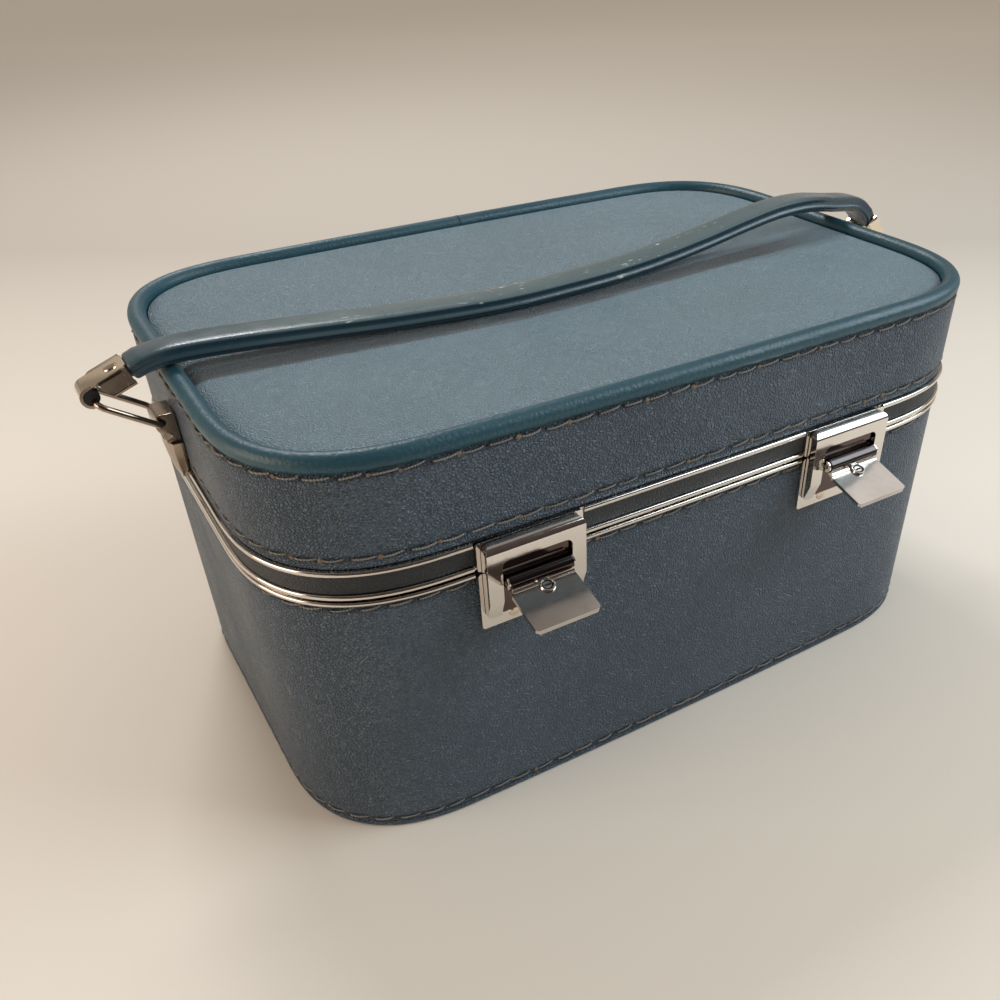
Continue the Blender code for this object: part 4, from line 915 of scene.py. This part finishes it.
def latch_plate(side_name, x, part):
    low, high = box_of(f"latch_{side_name}_{part}_plate")
    top = PLATE_TOPS[part]
    outline = rounded(high.x - low.x, top - low.z, PLATE_CORNER, centre=(0, (top + low.z) / 2))
    place = latch_face(x, PLATE_BACK + PLATE_SHEET / 2)
    return eased(sheet_cut(f"latch_{side_name}_{part}_sheet", [outline], PLATE_SHEET, place), PLATE_EASE)


def latch_bezel(side_name, x):
    """The raised frame: a rounded shoulder on top, a taper below and the window that the hasp crosses."""
    low, high = box_of(f"latch_{side_name}_bezel")
    out, drop = BEZEL_SHOULDER
    shoulder = [(BEZEL_FACE - out * (1 - math.sin(a)), high.z - drop * (1 - math.cos(a)))
                for a in np.linspace(0, TURN / 4, 12)]
    side = [(BEZEL_BACK, low.z), (BEZEL_BACK + BEZEL_TOE, low.z), (BEZEL_FACE, low.z + BEZEL_TAPER)]
    side += shoulder[::-1] + [(BEZEL_BACK, high.z)]
    made = sheet_cut(f"latch_{side_name}_frame", [side], high.x - low.x, latch_side(x))
    outer = rounded(high.x - low.x, high.z - low.z, BEZEL_CORNER, 6, (0, (high.z + low.z) / 2))
    top, foot = high.z - BEZEL_BAR, low.z - WINDOW_OVERRUN
    window = rounded(WINDOW_WIDTH, top - foot, WINDOW_CORNER, 6, (0, (top + foot) / 2))
    for name, outline, operation in (("outer", outer, "INTERSECT"), ("window", window, "DIFFERENCE")):
        cutter = sheet_cut(name, [outline], CUT_LENGTH, latch_face(x, BEZEL_FACE / 2))
        made = combined(made, cutter, operation)
    return eased(made, BEZEL_EASE)


def painted_recess_shade(side_name, x):
    """The dark plate seen through the window, behind the hasp: painted shade in the latch's hollow."""
    top = box_of(f"latch_{side_name}_bezel")[1].z - RECESS_TOP_DROP
    foot = PARTING - RECESS_FOOT_DROP
    outline = rounded(RECESS_WIDTH, top - foot, RECESS_CORNER, 3, (0, (top + foot) / 2))
    return sheet_cut(f"latch_{side_name}_recess", [outline], RECESS_SHEET, latch_face(x, RECESS_OUT))


def latch_hasp(side_name, x):
    """The bar across the window, which thins down into a tongue with a slot for the catch."""
    low, high = box_of(f"latch_{side_name}_hasp")
    bar_low = high.z - HASP_BAR
    curve = [(HASP_FULL - (HASP_FULL - HASP_THIN) * math.sin(a), bar_low - HASP_CURVE * (1 - math.cos(a)))
             for a in np.linspace(0, TURN / 4, 10)]
    side = [(BEZEL_BACK, low.z), (HASP_THIN, low.z)] + curve[::-1]
    side += [(HASP_FULL, high.z), (BEZEL_BACK, high.z)]
    tongue = sheet_cut(f"latch_{side_name}_tongue", [side], high.x - low.x, latch_side(x))
    slot = block("slot", SLOT_SIZE, Matrix.Translation((x, SEAT, PARTING - SLOT_DROP)))
    return eased(combined(tongue, slot, "DIFFERENCE"), HASP_EASE)


def flap_place(x):
    """On the flap's pin: local X down the flap, Y up from it."""
    along = (0, -math.cos(FLAP_SLOPE), -math.sin(FLAP_SLOPE))
    up = (0, -math.sin(FLAP_SLOPE), math.cos(FLAP_SLOPE))
    return axes_matrix((x, SEAT - PIVOT_OUT, PIVOT_Z), along, up)


def plug_place(x):
    """In the middle of the lock: local Z up from the flap."""
    return flap_place(x) @ Matrix.Translation((PLUG_REACH, 0, 0)) @ Matrix.Rotation(-TURN / 4, 4, "X")


def latch_knuckle(side_name, x):
    """The rolled barrel round the flap's pin."""
    loops = [circle((0, 0), BARREL, 36), circle((0, 0), BARREL_BORE, 20)]
    return eased(sheet_cut(f"latch_{side_name}_knuckle", loops, BARREL_WIDTH, flap_place(x)), BARREL_EASE)


def flap_web():
    """The side view of the sheet's root: it lies round the barrel and sweeps down into the sheet."""
    sink = FLAP_SHEET * 0.1
    hub = math.sqrt((BARREL + FLAP_FILLET) ** 2 - (FLAP_TOP + FLAP_FILLET) ** 2)
    meet = math.atan2(FLAP_TOP + FLAP_FILLET, hub)
    fillet = arc((hub, FLAP_TOP + FLAP_FILLET), FLAP_FILLET, -TURN / 4, meet - TURN / 2, 10)
    web = arc((0, 0), BARREL - WEB_SINK, -TURN / 4, meet, 12) + fillet[::-1]
    return web + [(hub + WEB_REACH, FLAP_TOP - sink), (hub + WEB_REACH, sink - KNUCKLE), (0, sink - KNUCKLE)]


def latch_flap(side_name, x):
    """The thumb flap: a sheet that sweeps up to its barrel, with eased sides and a turned-down end."""
    place = flap_place(x)
    flap = sheet_cut(f"latch_{side_name}_thumb_flap", [flap_web()], BARREL_WIDTH, place)
    middle = (-FLAP_SHIFT, (FLAP_END + FLAP_START) / 2)
    outline = rounded(FLAP_WIDTH, FLAP_END - FLAP_START, FLAP_CORNER, centre=middle)
    heart = place @ Vector((0, FLAP_TOP - FLAP_SHEET / 2, 0))
    level = axes_matrix(heart, (1, 0, 0), place.to_3x3() @ Vector((1, 0, 0)))
    flap = combined(flap, sheet_cut("sheet", [outline], FLAP_SHEET, level), "UNION")
    bend = (FLAP_END - FLAP_LIP_OUTER, FLAP_TOP - FLAP_LIP_OUTER)
    lip = arc(bend, FLAP_LIP_OUTER, TURN / 4, FLAP_LIP_PAST, 8)
    lip += arc(bend, FLAP_LIP_INNER, FLAP_LIP_PAST, TURN / 4, 6)
    shifted = place @ Matrix.Translation((0, 0, FLAP_SHIFT))
    flap = combined(flap, sheet_cut("lip", [lip], FLAP_LIP_WIDTH, shifted), "UNION")
    rise = FLAP_TOP + PLUG_HOLE_RISE
    section = [(0, PLUG_HOLE_FOOT), (PLUG_HOLE, PLUG_HOLE_FOOT), (PLUG_HOLE, rise), (0, rise)]
    hole = turned("plug_hole", section, plug_place(x))
    return eased(combined(flap, hole, "DIFFERENCE"), FLAP_EASE)


def lock_plug(side_name, x):
    """The round plug, with a groove round its middle disc and a slot for the key."""
    top = FLAP_TOP + PLUG_RISE
    profile = [(0, PLUG_FOOT), (PLUG_RADIUS, PLUG_FOOT)] + [(radius, top + up) for radius, up in PLUG_FACE]
    plug = turned(f"latch_{side_name}_plug", profile, plug_place(x))
    key = block("key", KEY_SIZE, plug_place(x) @ Matrix.Translation((0, 0, top)))
    return smoothed(combined(plug, key, "DIFFERENCE"))


def keyhole_shade(side_name, x):
    """A dark disc at the bottom of the lock's groove and slot: painted shade down in them."""
    profile = [(radius, FLAP_TOP + up) for radius, up in KEYHOLE_SECTION]
    return turned(f"latch_{side_name}_keyhole", profile, plug_place(x), 24)


def plate_rivet(side_name, x, end_name, end):
    """A low head that fills a fixing hole of the base plate."""
    foot = box_of(f"latch_{side_name}_base_plate")[0].z
    face = latch_face(x + end * RIVET_REACH, PLATE_BACK + PLATE_SHEET)
    place = face @ Matrix.Translation((0, foot + RIVET_RISE, 0))
    return turned(f"latch_{side_name}_plate_rivet_{end_name}", PLATE_RIVET, place, 24)


def latches():
    for side_name, side in SIDES:
        x = side * LATCH_PLACE
        name = f"latch_{side_name}_"
        finish_piece(latch_plate(side_name, x, "lid"), CHROME, "lid", [name + "lid_plate"])
        finish_piece(latch_bezel(side_name, x), CHROME, "lid", [name + "bezel"])
        finish_piece(painted_recess_shade(side_name, x), PAINTED_SHADE, "lid")
        finish_piece(latch_hasp(side_name, x), HASP_DARK_REFLECTION, "lid", [name + "hasp"])
        finish_piece(latch_knuckle(side_name, x), BARREL_DARK_REFLECTION, name + "flap")
        finish_piece(latch_flap(side_name, x), FLAP_CHROME, name + "flap", [name + "flap"])
        for end_name, end in SIDES:
            finish_piece(plate_rivet(side_name, x, end_name, end), CLIP_BRONZE, "base")
        finish_piece(keyhole_shade(side_name, x), PAINTED_SHADE, name + "lock")
        finish_piece(lock_plug(side_name, x), LOCK_CHROME, name + "lock", [name + "lock_plug"])


# Handle

LINK_SLOPE = {LEFT: math.radians(34.3), RIGHT: math.radians(4.0)}
CLIP_SLOPE = {LEFT: math.radians(20.0), RIGHT: math.radians(52.0)}
LINK_AXIS = (0.1705, 0.149899)
LINK_LENGTH = 0.0230
LINK_HALF_WIDTH = 0.0095
LINK_CORNER = 0.0032
WIRE_RADIUS = 0.0012
STRAP_WIDTH = 0.0145
STRAP_THICKNESS = 0.0070
STRAP_ROUTE = (
    (-0.1600, -0.0012, 0.1741), (-0.1400, -0.0032, 0.1741), (-0.1120, -0.0064, 0.1731),
    (-0.0753, -0.0110, 0.1717), (-0.0333, -0.0145, 0.1708), (0.0, -0.0135, 0.1708),
    (0.0245, -0.0119, 0.1712), (0.0490, -0.0099, 0.1726), (0.0753, -0.0075, 0.1752),
    (0.0998, -0.0055, 0.1784), (0.1201, -0.0041, 0.1804), (0.1400, -0.0026, 0.1800),
    (0.1600, -0.0010, 0.1768), (0.1750, -0.0001, 0.1742),
)

# The strap's end in its clip: how far from the link's bar, with the shares of its width and thickness there
TONGUE_STOPS = (
    (0.0118, 0.70, 0.50), (0.0150, 0.72, 0.52), (0.0159, 0.76, 0.62), (0.0163, 0.90, 0.86),
    (0.0171, 0.98, 0.97),
)
TONGUE_RISE = 0.0023
STRAP_RUB_END = 0.160
STRAP_RUB_FADE = 0.045
STRAP_RUB_LEAST = 0.25

# Half of the strap's section as shares of its half width and half thickness, with how worn it is there
STRAP_SHARES = (
    (0.0, 1.0, 1), (0.45, 0.99, 1), (0.74, 0.94, 1), (0.86, 0.87, 1), (0.93, 0.76, 1), (0.94, 0.66, 0.3),
    (0.90, 0.50, 0), (0.86, 0.25, 0), (0.86, 0.10, 0.1), (0.93, 0.0, 0.5), (1.0, -0.18, 0.6),
    (1.0, -0.34, 0.35), (0.93, -0.46, 0.1), (0.88, -0.52, 0), (0.86, -0.80, 0), (0.72, -0.98, 0),
    (0.35, -1.0, 0), (0.0, -1.0, 0),
)


def link_along(side):
    return Vector((side * math.cos(LINK_SLOPE[side]), 0, math.sin(LINK_SLOPE[side])))


def link_axis(side):
    return Vector((side * LINK_AXIS[0], 0, LINK_AXIS[1]))


def clip_place(side):
    """On the link's outer bar: local X along the strap, Y up from it, Z across."""
    slope = CLIP_SLOPE[side]
    along = (-side * math.cos(slope), 0, math.sin(slope))
    up = (side * math.sin(slope), 0, math.cos(slope))
    return axes_matrix(link_axis(side) + link_along(side) * LINK_LENGTH, along, up)


def smooth_route(points, steps):
    """A smooth curve through all the points."""
    points = [Vector(point) for point in points]
    route, last = [], len(points) - 1
    for here in range(last):
        before, start = points[max(here - 1, 0)], points[here]
        end, after = points[here + 1], points[min(here + 2, last)]
        for step in range(steps):
            t = step / steps
            route.append(start * (2 * t**3 - 3 * t**2 + 1) + (end - before) / 2 * (t**3 - 2 * t**2 + t)
                         + end * (3 * t**2 - 2 * t**3) + (after - start) / 2 * (t**3 - t**2))
    return route + [points[last]]


def strap():
    """One soft strap: crowned top, a rib along each side, and a thin tongue in each clip."""
    left, right = clip_place(LEFT), clip_place(RIGHT)
    lead = [left @ Vector((stop[0], TONGUE_RISE, 0)) for stop in TONGUE_STOPS]
    tail = [right @ Vector((stop[0], TONGUE_RISE, 0)) for stop in reversed(TONGUE_STOPS)]
    first = Vector((TONGUE_STOPS[-1][0] + STRAP_THICKNESS / 2, TONGUE_RISE, 0))
    middle = smooth_route([left @ first, *STRAP_ROUTE, right @ first], 8)
    path = lead + middle + tail
    sizes = [stop[1:] for stop in TONGUE_STOPS]
    sizes = sizes + [(1.0, 1.0)] * len(middle) + sizes[::-1]
    half = [(w * STRAP_WIDTH / 2, t * STRAP_THICKNESS / 2, worn) for w, t, worn in STRAP_SHARES]
    section = half + [(-w, t, worn) for w, t, worn in reversed(half[1:-1])]
    made = tube("carrying_strap", path, [spot[:2] for spot in section])
    count = len(section)
    for number, (centre, (wide, thick)) in enumerate(zip(path, sizes)):
        ahead = path[min(number + 1, len(path) - 1)] - path[max(number - 1, 0)]
        across = ahead.cross(Vector((0, 0, 1))).normalized()
        for vertex in made.data.vertices[number * count:(number + 1) * count]:
            offset = vertex.co - centre
            sideways = across * offset.dot(across)
            vertex.co = centre + sideways * wide + (offset - sideways) * thick
    worn = made.data.attributes.new("worn", "FLOAT", "POINT")
    ends = [min(1.0, max(STRAP_RUB_LEAST, (STRAP_RUB_END - abs(spot.x)) / STRAP_RUB_FADE)) for spot in path]
    worn.data.foreach_set("value", [spot[2] * end for end in ends for spot in section])
    made.data.materials.append(STRAP_VINYL)
    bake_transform(made)
    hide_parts("handle_left_strap", "handle_right_strap")


def link_loop(side_name, side):
    """The closed wire loop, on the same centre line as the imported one."""
    along = link_along(side)
    place = axes_matrix(link_axis(side) + along * LINK_LENGTH / 2, (0, 1, 0), along)
    line = rounded(2 * LINK_HALF_WIDTH, LINK_LENGTH, LINK_CORNER, 6)
    path = [place @ Vector((*point, 0)) for point in line]
    normal = place.to_3x3() @ Vector((0, 0, 1))
    return tube(f"handle_{side_name}_wire", path, circle((0, 0), WIRE_RADIUS, 14), True, up=normal)


CLIP_TOP = 0.0058
CLIP_SHEET = 0.0011
CLIP_END = 0.0160
CLIP_HALF = 0.0070
CLIP_EASE = 0.00030
CURL_HALF = 0.0054
CURL_CENTRE = (0.0, 0.0018)
CURL_RADIUS = CLIP_TOP - CURL_CENTRE[1]
CURL_SPAN = (math.radians(88), math.radians(250))
HOLLOW_GAP = 0.0001
HOLLOW_INSET = 0.0008
STUD_REACH = 0.0110

# Half of the clip's top plate and one of its side flanges, along the strap and across or up from it
HOOK_HALF = (
    (-0.0006, CURL_HALF), (0.0022, CURL_HALF), (0.0036, CLIP_HALF), (CLIP_END - 0.0022, CLIP_HALF),
    (CLIP_END, CLIP_HALF - 0.0026),
)
FLANGE = (
    (0.0046, CLIP_TOP), (CLIP_END - 0.0006, CLIP_TOP), (CLIP_END - 0.0006, -0.0004), (0.0066, -0.0004),
    (0.0050, 0.0012),
)

# The turned lip along each flange's foot: its stops along the strap, its depth, inset and radius
CLIP_LIP_STOPS = (0.0064, 0.0068, CLIP_END - 0.0008, CLIP_END - 0.0004)
CLIP_LIP_DEPTH = 0.0008
CLIP_LIP_INSET = 0.0005
CLIP_LIP_RADIUS = 0.0009

# The rivet's head as (radius, height from where it sits)
STUD = (
    (0.0, -0.0030), (0.0009, -0.0030), (0.0009, 0.0), (0.0026, 0.0), (0.0026, 0.0003), (0.0023, 0.0006),
    (0.0014, 0.0007), (0.0, 0.0007),
)
STUD_SINK = 0.0002


def clip(side_name, side):
    """Folded sheet: a shouldered top plate, curled down round the bar, with a lipped flange on each side."""
    place = clip_place(side)
    level = place @ Matrix.Translation((0, CLIP_TOP - CLIP_SHEET / 2, 0)) @ Matrix.Rotation(TURN / 4, 4, "X")
    outline = list(HOOK_HALF) + [(along, -across) for along, across in reversed(HOOK_HALF)]
    plate = sheet_cut(f"handle_{side_name}_hook", [outline], CLIP_SHEET, level)
    start, stop = CURL_SPAN
    curl = arc(CURL_CENTRE, CURL_RADIUS, start, stop, 24)
    curl += arc(CURL_CENTRE, CURL_RADIUS - CLIP_SHEET, stop, start, 24)
    plate = combined(plate, sheet_cut("curl", [curl], 2 * CURL_HALF, place), "UNION")
    lips = []
    for end in (LEFT, RIGHT):
        across = Matrix.Translation((0, 0, end * (CLIP_HALF - CLIP_SHEET / 2)))
        plate = combined(plate, sheet_cut("flange", [FLANGE], CLIP_SHEET, place @ across), "UNION")
        away = end * (CLIP_HALF - CLIP_LIP_INSET)
        line = [place @ Vector((along, -CLIP_LIP_DEPTH, away)) for along in CLIP_LIP_STOPS]
        lips.append(tube("lip", line, circle((0, 0), CLIP_LIP_RADIUS, 14)))
    return joined(plate.name, [eased(plate, CLIP_EASE, 2, level=False), *lips])


def clip_hollow_shade(side_name, side):
    """A dark sheet inside the clip's curl: painted shade in its hollow."""
    loop = circle(CURL_CENTRE, CURL_RADIUS - CLIP_SHEET - HOLLOW_GAP, 24)
    return sheet_cut(f"handle_{side_name}_hollow", [loop], 2 * CURL_HALF - HOLLOW_INSET, clip_place(side))


def rivet(side_name, side):
    """A flat-topped rivet head standing on the clip."""
    profile = [(radius, CLIP_TOP - STUD_SINK + up) for radius, up in STUD]
    place = clip_place(side) @ Matrix.Translation((STUD_REACH, 0, 0)) @ Matrix.Rotation(-TURN / 4, 4, "X")
    return turned(f"handle_{side_name}_stud", profile, place, 28)


BRACKET_FOOT = 0.1281
BRACKET_HEIGHT = 0.0248
BRACKET_HALF = 0.0082
BRACKET_PROUD = 0.0003
BRACKET_EASE = 0.00025
BLOCK_WIDTH = 0.0128
BLOCK_EASE = 0.0007
BORE_FIT = 0.0003

# The pointed shield from foot to collar: height share, width share, and how far its back, edge and ridge
# stand out; the sides of the block above it as (out, height share)
SHIELD_ROWS = (
    (-0.18, 0.05, 0.0013, 0.0020, 0.0024), (-0.10, 0.34, 0.0013, 0.0026, 0.0034),
    (-0.01, 0.54, 0.0013, 0.0030, 0.0042), (0.0, 0.56, 0.0, 0.0030, 0.0043),
    (0.14, 0.74, 0.0, 0.0034, 0.0050), (0.28, 0.90, 0.0, 0.0037, 0.0055),
    (0.40, 0.98, 0.0, 0.0039, 0.0058), (0.53, 1.0, 0.0, 0.0038, 0.0056),
)
BLOCK_SIDE = (
    (0.0, 0.50), (0.0030, 0.50), (0.0052, 0.53), (0.0054, 0.57), (0.0040, 0.60), (0.0027, 0.64),
    (0.0058, 0.705), (0.0072, 0.755), (0.0076, 0.80), (0.0076, 0.91), (0.0066, 0.985), (0.0050, 1.0),
    (0.0, 1.0),
)


def shield(side_name, side, wall):
    """The bracket's ridged, pointed plate."""
    verts = []
    for up, half, back, edge, ridge in SHIELD_ROWS:
        z, y = BRACKET_FOOT + up * BRACKET_HEIGHT, half * BRACKET_HALF
        foot = back + (edge - back) * 0.3
        section = ((back, y), (foot, y), (edge, 0.96 * y), (ridge, 0.12 * y))
        for out, across in section + tuple((out, -across) for out, across in reversed(section)):
            verts.append((wall + side * out, -across, z))
    count = len(verts) // len(SHIELD_ROWS)
    ends = [tuple(range(count)), tuple(range(len(verts) - count, len(verts)))]
    faces = grid_faces(len(SHIELD_ROWS), count, False, True) + ends
    return new_object(f"handle_{side_name}_shield", verts, faces, False)


def bracket(side_name, side):
    """A pointed shield, a rolled collar above it and a faceted block that the wire passes through."""
    wall = side * (CASE_WIDTH / 2 + BRACKET_PROUD)
    outline = [(out, BRACKET_FOOT + up * BRACKET_HEIGHT) for out, up in BLOCK_SIDE]
    body = sheet_cut("block", [outline], BLOCK_WIDTH, axes_matrix((wall, 0, 0), (side, 0, 0), (0, 0, 1)))
    body = eased(body, BLOCK_EASE, 2, level=False)
    made = combined(shield(side_name, side, wall), body, "UNION")
    axis = axes_matrix(link_axis(side), (1, 0, 0), (0, 0, 1))
    bore = sheet_cut("bore", [circle((0, 0), WIRE_RADIUS + BORE_FIT, 20)], CUT_LENGTH, axis)
    return eased(combined(made, bore, "DIFFERENCE"), BRACKET_EASE, 2)


def handle():
    strap()
    for side_name, side in SIDES:
        name = f"handle_{side_name}_"
        finish_piece(link_loop(side_name, side), BRONZE, f"link_{side_name}", [name + "link"])
        finish_piece(clip(side_name, side), CLIP_BRONZE, f"handle_{side_name}", [name + "clip"])
        finish_piece(clip_hollow_shade(side_name, side), PAINTED_SHADE, f"handle_{side_name}")
        finish_piece(rivet(side_name, side), CLIP_BRONZE, f"handle_{side_name}", [name + "rivet"])
        finish_piece(bracket(side_name, side), BRONZE, "lid", [name + "bracket"])


# Carried-over nodes, by how their names end

KEPT = {
    "board": BOARD, "pad": FOAM, "lining": LINING, "bottom_cover": WALL_VINYL, "pin": DARK_STEEL,
    "spring": DARK_STEEL, "mirror_rim": CHROME, "mirror": GLASS,
}


def carried_over():
    for name, node in NODES.items():
        material = next((look for key, look in KEPT.items() if name.endswith(key)), CHROME)
        node.data.materials.clear()
        node.data.materials.append(material)


# Stage

FLOOR_HALF = 4.0
FLOOR_SPAN = (0.0, 3.0)
FLOOR_RAMP = ((0.04, (0.72, 0.655, 0.58)), (0.20, (0.50, 0.45, 0.395)), (0.70, (0.82, 0.75, 0.66)))
FLOOR_FADE_ALONG = (0.525, 0.851, 0.0)
ROOM_LIGHT = (0.82, 0.75, 0.67)
ROOM_STRENGTH = 0.57
ROOM_RAMP = (
    (0.0, (0.62, 0.54, 0.46)), (0.30, (0.56, 0.49, 0.41)), (0.50, (0.30, 0.26, 0.22)),
    (0.70, (0.22, 0.19, 0.17)), (0.86, (0.34, 0.31, 0.28)), (1.0, (0.42, 0.39, 0.36)),
)
ROOM_BANDS_SCALE = (5.0, 5.0, 0.8)
ROOM_BANDS = (0.42, 0.58, 0.55, 1.35)
ROOM_FACING = (-0.35, 0.10, 0.18, 1.0)
LIT_CEILING = (0.78, 0.77, 0.75)
LIT_FROM_X = (0.425, 0.455)
LIT_FROM_Z = (0.52, 0.62)
LAMP_TARGET = (0.0, 0.0, 0.08)
LAMPS = (
    ("window", (0.90, -0.58, 0.80), 0.8, 11.5, (0.80, 0.93, 1.0)),
    ("side", (-1.3, 0.12, 0.35), 0.9, 9.0, (1.0, 0.83, 0.66)),
    ("behind", (0.05, 0.95, 1.30), 0.38, 11.0, (0.98, 0.99, 1.0)),
)
CARD_COLOUR = (0.050, 0.032, 0.028)
CARDS = (
    ("dark_floor_card",
     ((-0.70, -1.30, 0.002), (0.0, -1.30, 0.002), (0.0, -0.36, 0.002), (-0.70, -0.36, 0.002))),
    ("dark_wall_card",
     ((-0.80, -0.75, 0.0), (0.50, -0.75, 0.0), (0.50, -0.75, 1.7), (-0.80, -0.75, 1.7))),
)


def studio_world():
    """Even soft light. Only reflections see the room: pale low down, darker above, with one side lit."""
    world = bpy.data.worlds.new("studio")
    bpy.context.scene.world = world
    world.use_nodes = True
    look = Nodes(world.node_tree, "Generated")
    parts = look.axes()
    lit = look.maths("MULTIPLY", look.level(parts["X"], *LIT_FROM_X), look.level(parts["Z"], *LIT_FROM_Z))
    colour = look.mix(lit, look.ramp(parts["Z"], ROOM_RAMP), LIT_CEILING)
    bands = look.level(look.noise(1.0, place=look.stretched(ROOM_BANDS_SCALE)), *ROOM_BANDS)
    strength = look.maths("MULTIPLY", bands, look.level(parts["Y"], *ROOM_FACING))
    room = look.node("Background", {"Color": colour, "Strength": strength})
    plain = world.node_tree.nodes["Background"]
    plain.inputs["Color"].default_value = (*ROOM_LIGHT, 1.0)
    plain.inputs["Strength"].default_value = ROOM_STRENGTH
    glossy = look.node("LightPath").outputs["Is Glossy Ray"]
    mixer = look.node("MixShader", {0: glossy, 1: plain.outputs[0], 2: room.outputs[0]})
    look.link(mixer.outputs[0], world.node_tree.nodes["World Output"].inputs["Surface"])


def floor():
    corners = [(x * FLOOR_HALF, y * FLOOR_HALF, 0) for x, y in ((-1, -1), (1, -1), (1, 1), (-1, 1))]
    made = new_object("floor", corners, [(0, 1, 2, 3)], False)
    look = Shading("floor", 0.9)
    away = look.vector("DOT_PRODUCT", look.place, FLOOR_FADE_ALONG, "Value")
    look.colour(look.ramp(look.level(away, *FLOOR_SPAN), FLOOR_RAMP))
    made.data.materials.append(look.material)


def lamps():
    for name, place, size, energy, colour in LAMPS:
        lamp = bpy.data.lights.new(name, "AREA")
        lamp.size = size
        lamp.energy = energy
        lamp.color = colour
        obj = bpy.data.objects.new(name, lamp)
        obj.location = place
        obj.rotation_euler = (Vector(place) - Vector(LAMP_TARGET)).to_track_quat("Z", "Y").to_euler()
        bpy.context.scene.collection.objects.link(obj)


def cards():
    """Dark boards that only the reflections see, like the dark side of a studio."""
    for name, corners in CARDS:
        card = new_object(name, corners, [(0, 1, 2, 3)], False)
        look = Shading(name, 0.9)
        look.shader.inputs["Base Color"].default_value = (*CARD_COLOUR, 1.0)
        card.data.materials.append(look.material)
        for ray in ("camera", "diffuse", "transmission", "shadow", "volume_scatter"):
            setattr(card, f"visible_{ray}", False)


def camera():
    data = bpy.data.cameras.new("camera")
    data.lens = CAMERA_LENS_MM
    data.sensor_width = CAMERA_SENSOR_MM
    data.shift_x, data.shift_y = CAMERA_SHIFT
    obj = bpy.data.objects.new("camera", data)
    right, up = Vector(CAMERA_RIGHT), Vector(CAMERA_UP)
    back = right.cross(up)
    turn = Matrix((right, up, back)).transposed().to_4x4()
    obj.matrix_world = Matrix.Translation(CAMERA_PLACE) @ turn
    bpy.context.scene.collection.objects.link(obj)
    bpy.context.scene.camera = obj


camera()
walls()
top_panel()
edging()
for row_number, (part, heights) in enumerate(SEAM_ROWS.items()):
    for end, row_height in zip(("low", "high"), heights):
        stitches(f"{part}_stitching_{end}", part, row_height, 10 * row_number + len(end))
latches()
handle()
carried_over()
studio_world()
floor()
lamps()
cards()
bpy.context.scene.view_settings.view_transform = "Standard"
